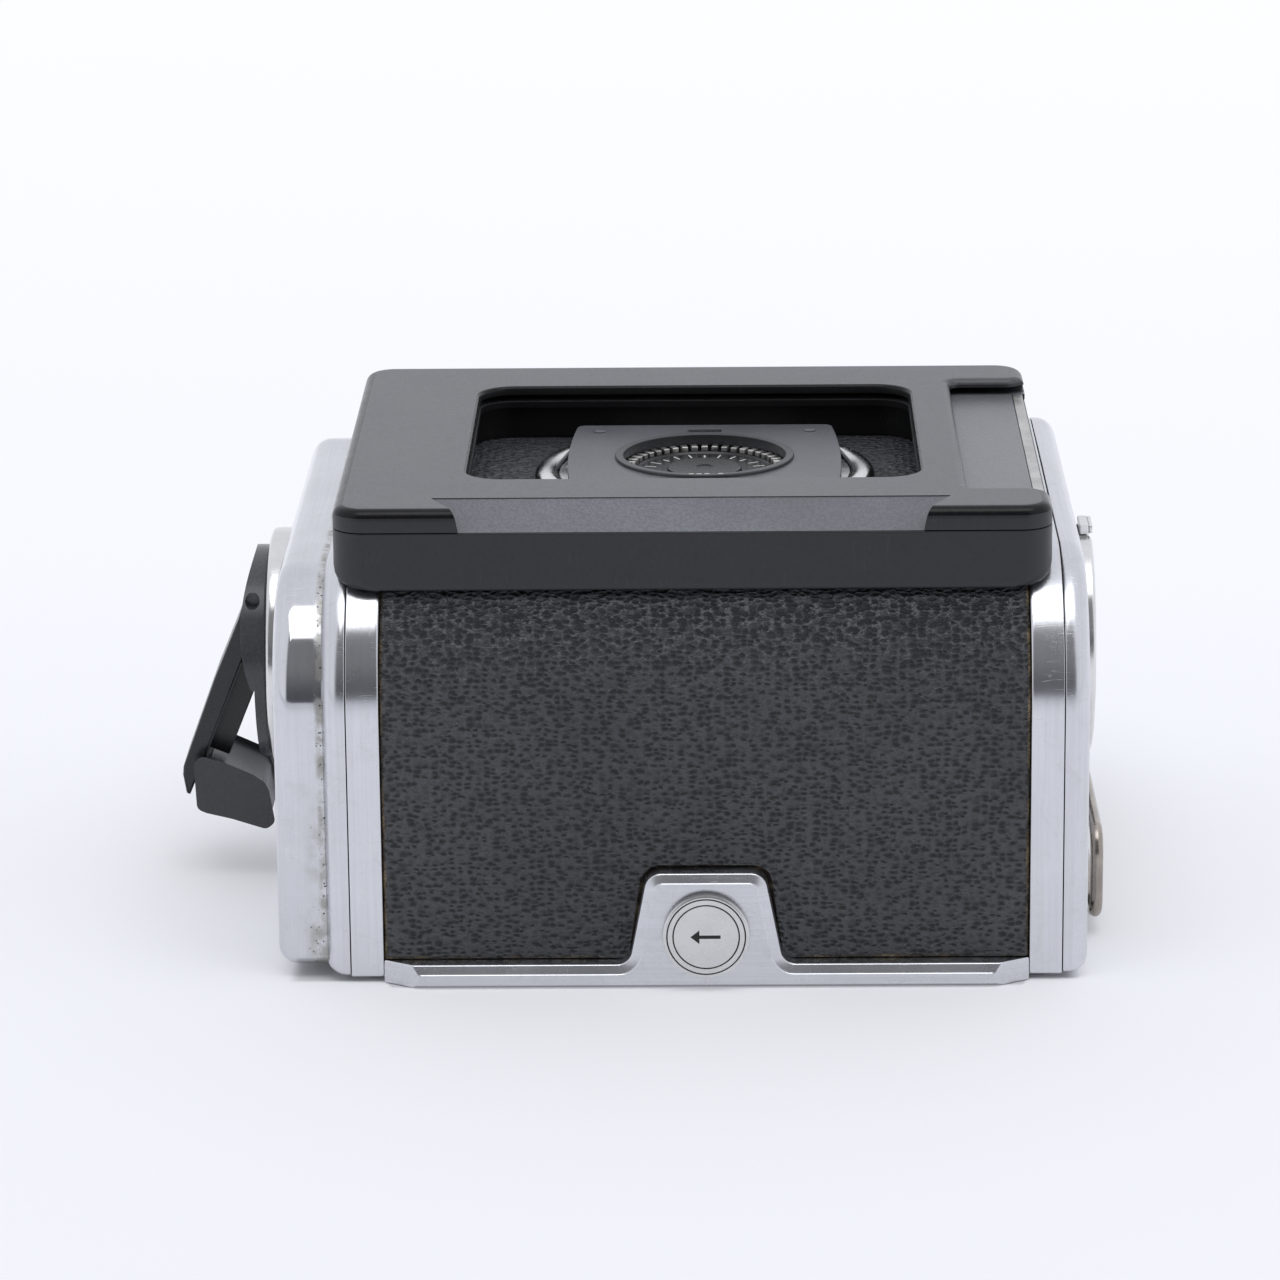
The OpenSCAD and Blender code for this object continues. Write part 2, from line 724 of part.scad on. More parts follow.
casing();
leather_cover();
front_plate();
front_screws();
drive_side_plate();
gear_housing();
housing_screws();
crank_escutcheon();
crank_bush();
counter_window();
signal_window();
light_trap();
holder_base();
holder_cover();
holder_spring();
tab_frame();
tab_plate();
tab_rivets();
catch_spring();
catch_button();
catch_bar();
insert_end_plate();
insert_drive_cheek();
insert_key_cheek();
insert_bridge();
insert_web();
insert_spacers();
supply_pivots();
takeup_pivot();
pressure_springs();
lock_disc();
lock_cam();
key_bow();
lock_bolt_near();
lock_bolt_far();
slide_blade();
slide_handle();
pressure_plate();
roller_near();
roller_far();
takeup_spool();
crank_hub();
crank_gear();
crank_pin();
crank_arm();
crank_grip();
takeup_idler();
takeup_gear();
feed_idler_a();
feed_idler_b();
drive_gear();
counter_dial();
signal_flag();
speed_dial();
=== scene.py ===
# Roll-film magazine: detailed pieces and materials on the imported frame. Drawn in mm, stored in metres.
import bpy, bmesh, random
from math import acos, atan2, cos, pi as PI, radians, sin, sqrt, tan
from mathutils import Vector, Matrix, noise
from mathutils.geometry import tessellate_polygon

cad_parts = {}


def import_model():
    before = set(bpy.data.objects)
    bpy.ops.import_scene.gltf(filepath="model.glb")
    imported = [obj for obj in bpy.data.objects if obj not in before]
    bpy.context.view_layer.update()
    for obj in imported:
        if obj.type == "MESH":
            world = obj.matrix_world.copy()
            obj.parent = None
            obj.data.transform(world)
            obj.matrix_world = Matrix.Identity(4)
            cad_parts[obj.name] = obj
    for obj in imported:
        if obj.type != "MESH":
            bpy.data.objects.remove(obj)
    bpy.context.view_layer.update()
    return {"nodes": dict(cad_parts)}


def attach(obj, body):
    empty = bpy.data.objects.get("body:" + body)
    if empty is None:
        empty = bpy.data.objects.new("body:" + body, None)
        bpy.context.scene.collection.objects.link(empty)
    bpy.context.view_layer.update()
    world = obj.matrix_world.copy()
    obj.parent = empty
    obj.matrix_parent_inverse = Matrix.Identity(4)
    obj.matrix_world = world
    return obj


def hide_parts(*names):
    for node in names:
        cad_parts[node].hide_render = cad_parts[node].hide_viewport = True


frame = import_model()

MM = 0.001
scene = bpy.context.scene
rnd = random.Random(7)


def add_object(name, data):
    o = bpy.data.objects.new(name, data)
    scene.collection.objects.link(o)
    return o


# ---- camera
def make_camera():
    pitch, yaw, roll = radians(15.84), radians(-0.88), radians(-0.557)
    fwd = Vector((sin(yaw) * cos(pitch), cos(yaw) * cos(pitch), -sin(pitch)))
    right = Vector((cos(yaw), -sin(yaw), 0))
    up = right.cross(fwd)
    r = cos(roll) * right + sin(roll) * up
    u = -sin(roll) * right + cos(roll) * up
    cam = bpy.data.cameras.new("camera")
    cam.lens, cam.sensor_width = 158.5, 36
    cam.clip_start, cam.clip_end = 0.05, 30
    ob = add_object("camera", cam)
    ob.matrix_world = Matrix((
        (r.x, u.x, -fwd.x, 0.00208), (r.y, u.y, -fwd.y, -0.63966), (r.z, u.z, -fwd.z, 0.20863), (0, 0, 0, 1)))
    scene.camera = ob


make_camera()


# ---- node helpers
class Tree:
    """Short calls for the nodes that a material or the world needs."""

    def __init__(self, tree):
        self.t = tree
        tree.nodes.clear()

    def new(self, kind, **props):
        n = self.t.nodes.new(kind)
        for k, v in props.items():
            setattr(n, k, v)
        return n

    def put(self, socket, v):
        if isinstance(v, bpy.types.NodeSocket):
            self.t.links.new(v, socket)
        else:
            socket.default_value = v

    def call(self, kind, values, out=0, **props):
        """Adds a node, fills its inputs and gives back one output."""
        n = self.new(kind, **props)
        for k, v in values.items():
            self.put(n.inputs[k], v)
        return n.outputs[out]

    def xyz(self, v=None):
        n = self.new("ShaderNodeSeparateXYZ")
        self.put(n.inputs[0], v or self.o)
        return n.outputs

    def m(self, op, a, b=0.0, clamp=False):
        return self.call("ShaderNodeMath", {0: a, 1: b}, operation=op, use_clamp=clamp)

    def times(self, a, b):
        return self.m("MULTIPLY", a, b)

    def plus(self, a, b):
        return self.m("ADD", a, b)

    def minus(self, a, b):
        return self.m("SUBTRACT", a, b)

    def most(self, a, b):
        return self.m("MAXIMUM", a, b)

    def span(self, v, a, b, c=0.0, d=1.0, kind="SMOOTHSTEP"):
        """Maps a..b to c..d, held at the ends."""
        return self.call("ShaderNodeMapRange", dict(enumerate((v, a, b, c, d))), interpolation_type=kind)

    def mix(self, f, a, b):
        return self.call("ShaderNodeMix", {0: f, 6: a, 7: b}, 2, data_type="RGBA")


class Net(Tree):
    """A material with one Principled shader."""

    def __init__(self, name, **sockets):
        self.mat = bpy.data.materials.new(name)
        self.mat.use_nodes = True
        super().__init__(self.mat.node_tree)
        self.b = self.new("ShaderNodeBsdfPrincipled")
        self.put(self.new("ShaderNodeOutputMaterial").inputs[0], self.b.outputs[0])
        for k, v in sockets.items():
            self.set(k.replace("_", " "), v)
        self.o = self.new("ShaderNodeTexCoord").outputs["Object"]

    def set(self, name, v):
        self.put(self.b.inputs[name], v)

    def coat(self, colour, rough, height, strength, dist):
        """Sets colour, roughness and bump (distance in millimetres), and gives back the material."""
        self.set("Base Color", colour)
        self.set("Roughness", rough)
        values = {"Strength": strength, "Distance": dist * MM, "Height": height}
        self.set("Normal", self.call("ShaderNodeBump", values))
        return self.mat

    def mul(self, v, s):
        return self.call("ShaderNodeVectorMath", {0: v, 1: s}, operation="MULTIPLY")

    def add(self, v, w):
        return self.call("ShaderNodeVectorMath", {0: v, 1: w}, operation="ADD")

    def turn(self, v, axis, angle):
        return self.call("ShaderNodeVectorRotate", {"Vector": v, "Angle": angle}, rotation_type=axis)

    def noise(self, scale, detail=3, rough=0.5, v=None, warp=0, colour=False):
        values = {"Vector": v or self.o, "Scale": scale, "Detail": detail, "Roughness": rough,
                "Distortion": warp}
        return self.call("ShaderNodeTexNoise", values, "Color" if colour else 0)

    def cells(self, scale):
        return self.call("ShaderNodeTexVoronoi", {"Vector": self.o, "Scale": scale}, "Distance")


def grey(v):
    return (v, v, v, 1)


def streaks(n, axis, fine=2600, along=45):
    """Fine lines that run across the named axis."""
    s = [along, along, along]
    s["XYZ".index(axis)] = fine
    return n.noise(1.0, 4, 0.6, n.mul(n.o, s))


def scratches(n, angle, axis="X_AXIS", density=0.012, scale=(90, 1500, 1500)):
    """Thin bright lines at one angle, broken up into short lengths."""
    v = n.turn(n.o, axis, angle)
    lines = n.noise(1.0, 2, 0.5, n.mul(v, scale))
    near = n.m("ABSOLUTE", n.minus(lines, 0.5))
    thin = n.span(near, 0.0, density, 1.0, 0.0)
    patches = n.span(n.noise(260, 2, 0.5, v), 0.55, 0.68)
    return n.times(thin, patches)


def bright_metal(name, colour, rough, axis="X", seam=None, glue=False):
    """Satin plated metal: brushed lines, cloudy wear, hairlines and, where asked, dark pitting by a seam."""
    n = Net(name, Metallic=1.0)
    tint = (0.985, 1.0, 1.055)
    cloud = n.noise(90, 4, 0.6)
    fine = streaks(n, axis)
    coarse = streaks(n, axis, 700, 25)
    hair = n.most(scratches(n, 0.5), n.most(scratches(n, -0.9, scale=(70, 1300, 1700)),
               scratches(n, 2.0, "Z_AXIS", scale=(60, 1600, 1600))))
    base = n.mix(n.span(cloud, 0.3, 0.7), [colour * 0.95 * c for c in tint] + [1],
            [colour * 1.03 * c for c in tint] + [1])
    base = n.mix(n.times(n.span(fine, 0.35, 0.65), 0.20), base, grey(colour * 0.72))
    base = n.mix(n.times(n.span(n.noise(420, 4, 0.7, warp=1.5), 0.5, 0.72), 0.22), base, grey(colour * 0.70))
    base = n.mix(n.times(hair, 0.5), base, grey(min(1.0, colour * 1.25)))
    rough_v = n.plus(n.span(cloud, 0.25, 0.75, rough * 0.8, rough * 1.25), n.times(fine, 0.05))
    rough_v = n.plus(rough_v, n.times(hair, 0.2))
    height = n.plus(n.times(fine, 0.5), n.times(coarse, 0.5))
    height = n.minus(height, n.times(hair, 0.6))
    x, y, z = n.xyz()
    if seam is not None:
        away = n.minus(seam, n.times(x, 1000.0))
        close = n.times(n.span(away, 0.15, 0.9, 1.0, 0.0), n.span(n.noise(170, 3, 0.6), 0.30, 0.50))
        wide = n.times(n.span(away, 0.6, 2.6, 1.0, 0.0), n.span(n.noise(120, 3, 0.6), 0.40, 0.60))
        wide = n.times(wide, n.span(z, 0.024, 0.014))
        zone = n.most(close, wide)
        dots = n.times(n.span(n.cells(2300), 0.18, 0.30, 1.0, 0.0), n.span(n.noise(1100, 2), 0.47, 0.58))
        spot = n.times(dots, zone)
        grime = n.times(n.times(zone, n.span(n.noise(420, 4, 0.7), 0.3, 0.6)), 0.75)
        base = n.mix(grime, base, (0.36, 0.35, 0.31, 1))
        base = n.mix(spot, base, (0.03, 0.028, 0.025, 1))
        rough_v = n.plus(rough_v, n.times(n.plus(spot, grime), 0.5))
        height = n.minus(height, n.times(spot, 1.5))
    if glue:
        under = n.span(n.times(n.m("ABSOLUTE", x), 1000.0), 36.02, 36.06, 1.0, 0.0)
        gc = n.mix(n.span(n.noise(700, 3, 0.6), 0.45, 0.72), (0.020, 0.013, 0.007, 1), (0.22, 0.17, 0.10, 1))
        base = n.mix(under, base, gc)
        rough_v = n.most(rough_v, n.times(under, 0.8))
        n.set("Metallic", n.minus(1.0, under))
    return n.coat(base, rough_v, height, 0.05, 0.02)


def turned_metal(name, centre, plane, colour, rough):
    """Metal finished on a lathe: rings round the given centre."""
    n = Net(name, Metallic=1.0)
    p = n.xyz(n.add(n.o, [-c * MM for c in centre]))
    a, b = (p["XYZ".index(k)] for k in plane)
    r = n.m("SQRT", n.plus(n.times(a, a), n.times(b, b)))
    rings = n.noise(1.0, 3, 0.6, n.call("ShaderNodeCombineXYZ", {0: n.times(r, 5200.0)}))
    cloud = n.noise(160, 4, 0.6)
    hair = n.most(scratches(n, 0.7, "Y_AXIS"), scratches(n, -0.4, "Y_AXIS", scale=(70, 1300, 1700)))
    rough_v = n.plus(n.span(cloud, 0.2, 0.8, rough * 0.8, rough * 1.4),
            n.plus(n.times(rings, 0.08), n.times(hair, 0.2)))
    return n.coat(n.mix(n.span(cloud, 0.3, 0.7), grey(colour * 0.9), grey(colour * 1.05)), rough_v,
                  n.minus(rings, hair), 0.12, 0.02)


def leather(name):
    """Pebbled leatherette: packed short dimples in wavy rows, painted dark inside as painted shade, with old
    glue at the edges, on the skin's UV.
    """
    n = Net(name)
    uv = n.new("ShaderNodeTexCoord").outputs["UV"]
    big = n.noise(0.35, 2, 0.5, uv, colour=True)
    small = n.noise(1.5, 2, 0.5, uv, colour=True)
    v = n.add(uv, n.mul(n.add(big, (-0.5, -0.5, -0.5)), (1.0, 1.2, 0)))
    v = n.add(v, n.mul(n.add(small, (-0.5, -0.5, -0.5)), (0.42, 0.30, 0)))

    def dimples(sx, sy, seed, size):
        w = n.add(n.mul(v, (sx, sy, 0)), (seed, seed * 2.3, 0))
        c = n.new("ShaderNodeTexVoronoi", feature="F1", voronoi_dimensions="2D")
        n.put(c.inputs["Vector"], w)
        n.put(c.inputs["Scale"], 1.0)
        n.put(c.inputs["Randomness"], 0.75)
        pick = n.xyz(c.outputs["Color"])
        r = n.span(pick[0], 0.0, 1.0, size * 0.45, size, "LINEAR")
        d = n.m("DIVIDE", c.outputs["Distance"], r)
        return n.times(n.span(d, 0.15, 1.05, 1.0, 0.0), n.span(pick[1], 0.05, 0.5, 0.45, 1.0))

    pits = n.most(dimples(1.02, 1.62, 0.0, 0.78), n.times(dimples(1.9, 3.1, 17.3, 0.40), 0.35))
    swell = n.noise(1.1, 3, 0.55, n.mul(v, (0.8, 1.3, 0)))
    x, y, z = n.xyz()
    worn = n.times(n.span(z, 0.0255, 0.0375), n.span(z, 0.0459, 0.0440))
    fine = n.noise(5200, 2, 0.6)
    cloud = n.noise(38, 4, 0.6)
    top = n.mix(n.span(cloud, 0.3, 0.7), (0.050, 0.0515, 0.058, 1), (0.064, 0.0655, 0.073, 1))
    # the dimples are painted near black as painted shade in their hollows
    col = n.mix(n.times(pits, 0.9), top, (0.004, 0.004, 0.006, 1))
    col = n.mix(n.times(n.span(swell, 0.5, 0.75), n.times(n.minus(1.0, pits), 0.35)), col,
            (0.10, 0.102, 0.115, 1))
    ax = n.times(n.m("ABSOLUTE", x), 1000.0)
    rag = n.times(n.minus(n.noise(240, 4, 0.7), 0.5), 0.5)
    edge = n.span(n.plus(ax, rag), 35.5, 35.74)
    zz = n.times(z, 1000.0)
    low = n.times(n.span(n.minus(zz, rag), 2.85, 3.15, 1.0, 0.0), n.span(n.noise(70, 3), 0.34, 0.6))
    glue = n.most(edge, low)
    gc = n.mix(n.span(n.noise(300, 3), 0.4, 0.75), (0.022, 0.015, 0.008, 1), (0.22, 0.165, 0.09, 1))
    col = n.mix(n.times(glue, n.span(n.noise(150, 3), 0.25, 0.62, 0.35, 1.0)), col, gc)
    dust = n.times(n.span(n.cells(620), 0.0, 0.05, 1.0, 0.0), n.span(n.noise(210, 2), 0.6, 0.66))
    col = n.mix(n.times(dust, 0.8), col, grey(0.5))
    rough = n.plus(n.span(pits, 0.0, 1.0, 0.36, 0.6), n.times(n.minus(fine, 0.5), 0.14))
    depth = n.plus(n.times(pits, n.span(worn, 0.0, 1.0, -0.75, -1.15, "LINEAR")), n.times(swell, 0.9))
    return n.coat(col, rough, n.plus(depth, n.times(fine, 0.04)), 1.0, 0.42)


def moulded(name, colour, rough, grain, grain_scale=3300, speck=0.0, shine=0.5):
    """Black moulded plastic: fine spark-eroded texture, faint flow marks, polished and scuffed places."""
    n = Net(name)
    cloud = n.noise(34, 4, 0.6)
    fine = n.noise(grain_scale, 3, 0.7)
    mid = n.noise(grain_scale * 0.42, 2, 0.6)

    def cool(v):
        return (v * 0.985, v * 1.005, v * 1.12, 1)

    col = n.mix(n.span(cloud, 0.25, 0.75), cool(colour * 0.84), cool(colour * 1.16))
    patch = n.span(n.noise(200, 4, 0.65, warp=1.2), 0.45, 0.7)
    col = n.mix(n.times(patch, 0.25 * (1 - speck)), col, cool(colour * 0.70))
    col = n.mix(n.times(n.span(mid, 0.58, 0.40), min(1.0, 0.25 + 0.6 * speck)), col, cool(colour * 0.55))
    col = n.mix(n.times(n.span(fine, 0.55, 0.68), min(1.0, 0.12 + 0.35 * speck)), col, cool(colour * 1.9))
    rv = n.plus(n.span(cloud, 0.2, 0.8, rough * 0.9, rough * 1.12), n.times(n.minus(fine, 0.5), 0.25))
    h = n.plus(n.times(fine, 0.6), n.times(mid, 0.6))
    if speck:
        dots = n.times(n.span(n.cells(2300), 0.1, 0.22, 1.0, 0.0), n.span(n.noise(1100, 2), 0.52, 0.6))
        col = n.mix(n.m("MULTIPLY", dots, speck, clamp=True), col, grey(colour * 0.35))
        h = n.minus(h, n.times(dots, 1.2))
    dust = n.times(n.span(n.cells(420), 0.0, 0.045, 1.0, 0.0), n.span(n.noise(170, 2), 0.6, 0.66))
    col = n.mix(n.times(dust, 0.6), col, grey(0.45))
    hair = n.most(scratches(n, 0.4, "Z_AXIS", 0.008, (1500, 60, 60)),
            scratches(n, -0.6, "Z_AXIS", 0.008, (1500, 60, 60)))
    col = n.mix(n.times(hair, 0.05), col, grey(0.3))
    n.set("Specular IOR Level", shine)
    return n.coat(col, rv, h, grain, 0.03)


def fine_metal(name, colour=(0.6, 0.59, 0.57), rough=0.3, axis="X", metallic=1.0):
    """Small steel, brass and blackened parts: brushed grain with uneven tarnish."""
    n = Net(name, Metallic=metallic)
    cloud = n.noise(240, 4, 0.65)
    fine = streaks(n, axis, 3200, 160)
    col = n.mix(n.span(cloud, 0.3, 0.72), [x * 0.7 for x in colour] + [1],
            [min(1, x * 1.12) for x in colour] + [1])
    rough_v = n.plus(n.span(cloud, 0.2, 0.8, rough * 0.75, rough * 1.4), n.times(fine, 0.1))
    return n.coat(col, rough_v, n.plus(fine, n.times(cloud, 0.5)), 0.15, 0.02)


def paint_mark(name, colour):
    n = Net(name)
    col = n.mix(n.span(n.noise(1400, 3), 0.3, 0.75), [c * 0.8 for c in colour] + [1], [*colour, 1])
    return n.coat(col, 0.45, n.noise(2600, 2), 0.1, 0.01)


def clear_window(name):
    n = Net(name, IOR=1.49, Transmission_Weight=0.92)
    col = n.mix(n.span(n.noise(800, 3), 0.4, 0.7), (0.86, 0.88, 0.88, 1), (0.93, 0.95, 0.95, 1))
    return n.coat(col, 0.06, n.noise(1200, 3), 0.03, 0.02)


def velvet(name):
    n = Net(name, Sheen_Weight=0.6)
    pile = n.noise(4200, 3, 0.7)
    return n.coat(n.mix(n.span(pile, 0.3, 0.7), grey(0.008), grey(0.03)), 0.95, pile, 0.6, 0.1)


M = {
    "casing": bright_metal("satin_casing", 0.70, 0.18, glue=True),
    "plate": bright_metal("satin_plate", 0.68, 0.19),
    "housing": bright_metal("satin_housing", 0.66, 0.06, seam=-42.62),
    "ridge": bright_metal("satin_ridge", 0.68, 0.24, "Z"),
    "gate_plate": bright_metal("satin_gate_plate", 0.62, 0.28, "Y"),
    "button": turned_metal("turned_button", (0, 0, 6.3), "XZ", 0.70, 0.22),
    "escutcheon": turned_metal("turned_escutcheon", (0, 0, 26.2), "YZ", 0.75, 0.14),
    "lock": turned_metal("turned_lock", (0, 0, 27), "YZ", 0.75, 0.16),
    "ring": turned_metal("turned_ring", (0, 1.5, 0), "XY", 0.78, 0.12),
    "leather": leather("leatherette"),
    "holder_side": moulded("holder_moulded", 0.0215, 0.42, 0.25, 4200),
    # the holder's top is the same black plastic as its sides, painted lighter as painted light
    "holder_top": moulded("holder_textured_painted_lighter", 0.078, 0.34, 0.35, 3400),
    # the rounded rim is worn smooth, and painted darker than the sides as painted shade for the dark room it
    # reflects
    "holder_edge": moulded("holder_worn_edge_painted_shade", 0.006, 0.24, 1.0, 900, shine=0.22),
    # the walls inside the window are the same plastic, painted near black as painted shade
    "holder_inner": moulded("holder_inner_wall_painted_shade", 0.005, 0.62, 0.2, 2600, shine=0.2),
    # the notch floor is the holder's plastic painted lighter as painted light
    "pocket": moulded("holder_pocket_painted_lighter", 0.145, 0.30, 0.08, 3400),
    # the hub and the grip are the same black plastic as the crank arm, painted lighter as painted light
    "hub": moulded("hub_moulded_painted_lighter", 0.06, 0.24, 0.2, 4200),
    "grip": moulded("grip_moulded_painted_lighter", 0.048, 0.30, 0.25, 4200),
    "facet": moulded("holder_grained", 0.165, 0.40, 1.0, 7000, speck=0.3),
    "crank": moulded("crank_moulded", 0.022, 0.28, 0.2, 4200),
    "tab_plate": moulded("plate_grained", 0.125, 0.36, 0.9, 7000, speck=0.3),
    "rim": moulded("plate_rim", 0.045, 0.35, 0.2, 4200),
    "spool": moulded("spool_moulded", 0.02, 0.4, 0.2),
    "black": fine_metal("black_painted", (0.022, 0.022, 0.023), 0.42, "X", 0.0),
    "steel": fine_metal("brushed_steel"),
    "steel_z": fine_metal("brushed_steel_slide", (0.62, 0.61, 0.6), 0.26, "Y"),
    "handle": fine_metal("worn_steel", (0.40, 0.36, 0.32), 0.18, "Y"),
    "brass": fine_metal("machined_brass", (0.72, 0.52, 0.22), 0.3),
    "ink": paint_mark("black_filling", (0.006, 0.006, 0.006)),
    "white": paint_mark("white_filling", (0.72, 0.72, 0.70)),
    "red": paint_mark("red_paint", (0.45, 0.03, 0.02)),
    "window": clear_window("clear_window"),
    "velvet": velvet("black_pile"),
    "dial": moulded("dial_black", 0.012, 0.3, 0.25),
}


# ---- mesh helpers
def shade(me, angle):
    """Smooth faces, and sharp edges above the angle; 0 leaves every edge smooth."""
    for p in me.polygons:
        p.use_smooth = True
    if angle:
        me.set_sharp_from_angle(angle=radians(angle))


def link(name, me, mat=None, smooth=32):
    shade(me, smooth)
    if mat:
        me.materials.append(M[mat])
    return add_object(name, me)


def from_lists(name, verts, faces, mat=None, smooth=32, flat=True):
    me = bpy.data.meshes.new(name)
    me.from_pydata([(x * MM, y * MM, z * MM) for x, y, z in verts], [], faces)
    bm = bmesh.new()
    bm.from_mesh(me)
    bmesh.ops.remove_doubles(bm, verts=bm.verts, dist=1e-7)
    if flat:
        bmesh.ops.dissolve_limit(bm, angle_limit=radians(0.2), verts=bm.verts, edges=bm.edges,
                delimit={"MATERIAL"})
    bmesh.ops.recalc_face_normals(bm, faces=bm.faces)
    bm.to_mesh(me)
    bm.free()
    return link(name, me, mat, smooth)


def stack(name, rings, mat=None, closed=False, smooth=32):
    """Joins rings of equal length into a skin; closed joins the last ring to the first."""
    k = len(rings[0])
    verts = [p for r in rings for p in r]
    faces = []
    count = len(rings)
    for i in range(count if closed else count - 1):
        a, b = i * k, ((i + 1) % count) * k
        faces += [(a + j, a + (j + 1) % k, b + (j + 1) % k, b + j) for j in range(k)]
    if not closed:
        for start, ring in ((0, rings[0]), ((count - 1) * k, rings[-1])):
            if max((Vector(p) - Vector(ring[0])).length for p in ring) > 1e-5:
                caps = tessellate_polygon([[Vector(p) for p in ring]])
                faces += [tuple(start + i for i in tri) for tri in caps]
    return from_lists(name, verts, faces, mat, smooth)


def layers(name, rows, mat=None, smooth=32):
    """A stack of (x, y) loops; rows list (z, loop)."""
    return stack(name, [[(x, y, z) for x, y in loop] for z, loop in rows], mat, smooth=smooth)


def arc(cx, cy, r, a0, a1, n):
    return [(cx + r * cos(radians(a0 + (a1 - a0) * i / n)),
             cy + r * sin(radians(a0 + (a1 - a0) * i / n))) for i in range(n + 1)]


def side_outline(hy, z0, z1, r, rf, inset, n=28):
    """Outline of the magazine seen from the side, as (y, z)."""
    rr, fr = max(r - inset, 0.05), max(rf - inset, 0.03)
    y, a, b = hy - inset, z0 + inset, z1 - inset
    return (arc(y - rr, b - rr, rr, 0, 90, n) + arc(-y + rr, b - rr, rr, 90, 180, n)
            + arc(-y + fr, a + fr, fr, 180, 270, 6) + arc(y - fr, a + fr, fr, 270, 360, 6))


def side_slab(name, mat, hy, z0, z1, r, rf, profile):
    """A slab of that outline; profile lists (x, inset)."""
    return stack(name, [[(x, y, z) for y, z in side_outline(hy, z0, z1, r, rf, i)] for x, i in profile], mat)


def roll(x_face, sign, r, n=12):
    """Profile of a rounded edge that ends on the face x_face."""
    return [(x_face - sign * r * (1 - sin(PI / 2 * i / n)), r * (1 - cos(PI / 2 * i / n)))
            for i in range(n + 1)]


HEXAHEDRON = [(0, 3, 2, 1), (4, 5, 6, 7), (0, 1, 5, 4), (1, 2, 6, 5), (2, 3, 7, 6), (3, 0, 4, 7)]


def box(name, x0, x1, y0, y1, z0, z1, mat=None, bevel=0.0):
    corners = [(x, y, z) for z in (z0, z1) for x, y in ((x0, y0), (x1, y0), (x1, y1), (x0, y1))]
    o = from_lists(name, corners, HEXAHEDRON, mat)
    if bevel:
        soften(o, bevel)
    return o


def soften(o, width, angle=35):
    """Rounds the edges that are sharper than the angle."""
    m = o.modifiers.new("bevel", "BEVEL")
    m.width, m.segments, m.limit_method, m.angle_limit = width * MM, 3, "ANGLE", radians(angle)
    bake(o)
    shade(o.data, 50)


def solid_mesh(o):
    dg = bpy.context.evaluated_depsgraph_get()
    dg.update()
    return bpy.data.meshes.new_from_object(o.evaluated_get(dg), depsgraph=dg)


def bake(o):
    """Applies the modifiers of o."""
    me = solid_mesh(o)
    old = o.data
    o.modifiers.clear()
    o.data = me
    if old.users == 0:
        bpy.data.meshes.remove(old)


def cut(o, *cutters, op="DIFFERENCE", smooth=32):
    for c in cutters:
        m = o.modifiers.new("cut", "BOOLEAN")
        m.operation, m.solver, m.object = op, "EXACT", c
    bake(o)
    for c in cutters:
        bpy.data.objects.remove(c)
    shade(o.data, smooth)
    return o


def revolve(name, axis, centre, profile, mat=None, n=96, smooth=28, hollow=False):
    """Turns a profile of (distance along axis, radius) round the axis; hollow closes it into a ring."""
    rings = []
    for a, r in profile:
        ring = []
        for i in range(n):
            t = 2 * PI * i / n
            c, s = max(r, 0.0) * cos(t), max(r, 0.0) * sin(t)
            ring.append({"X": (a, centre[1] + c, centre[2] + s), "Y": (centre[0] + s, a, centre[2] + c),
                         "Z": (centre[0] + c, centre[1] + s, a)}[axis])
        rings.append(ring)
    return stack(name, rings, mat, closed=hollow, smooth=smooth)


def rod(axis, centre, a, b, r, n, mat=None):
    """A cylinder from a to b along the axis through centre."""
    return revolve("rod", axis, centre, [(a, r), (b, r)], mat, n)


def prism(name, loops, t0, t1, plane, bevel, mat=None, res=2):
    """A flat shape with holes, given a thickness and rounded edges."""
    def area2(lp):
        return sum(lp[i - 1][0] * lp[i][1] - lp[i][0] * lp[i - 1][1] for i in range(len(lp)))

    turned = [lp if (area2(lp) > 0) == (i == 0) else lp[::-1] for i, lp in enumerate(loops)]
    if bevel:
        low = [(t0 + bevel * (1 - cos(PI / 2 * k / res)), bevel * (1 - sin(PI / 2 * k / res)))
                for k in range(res + 1)]
        rows = low + [(t0 + t1 - t, d) for t, d in low[::-1]]
    else:
        rows = [(t0, 0), (t1, 0)]
    place = {"XY": lambda u, v, t: (u, v, t), "XZ": lambda u, v, t: (u, t, v),
            "YZ": lambda u, v, t: (t, u, v)}[plane]
    verts, faces, ends = [], [], ([], [])
    for lp in turned:
        k, base = len(lp), len(verts)
        for t, d in rows:
            verts += [place(u, v, t) for u, v in (offset(lp, d) if d > 1e-6 else lp)]
        for i in range(len(rows) - 1):
            a, b = base + i * k, base + (i + 1) * k
            faces += [(a + j, a + (j + 1) % k, b + (j + 1) % k, b + j) for j in range(k)]
        ends[0].extend(range(base, base + k))
        ends[1].extend(range(base + (len(rows) - 1) * k, base + len(rows) * k))
    d = rows[0][1]
    ends_2d = [offset(lp, d) if d > 1e-6 else lp for lp in turned]
    caps = tessellate_polygon([[Vector((u, v, 0)) for u, v in lp] for lp in ends_2d])
    for side in ends:
        faces += [tuple(side[i] for i in tri) for tri in caps]
    return from_lists(name, verts, faces, mat, 40)


def rounded(x0, x1, y0, y1, r, n=8):
    return (arc(x1 - r, y1 - r, r, 0, 90, n) + arc(x0 + r, y1 - r, r, 90, 180, n)
            + arc(x0 + r, y0 + r, r, 180, 270, n) + arc(x1 - r, y0 + r, r, 270, 360, n))


def ring_loop(cx, cy, r, n=64):
    return [(cx + r * cos(2 * PI * i / n), cy + r * sin(2 * PI * i / n)) for i in range(n)]


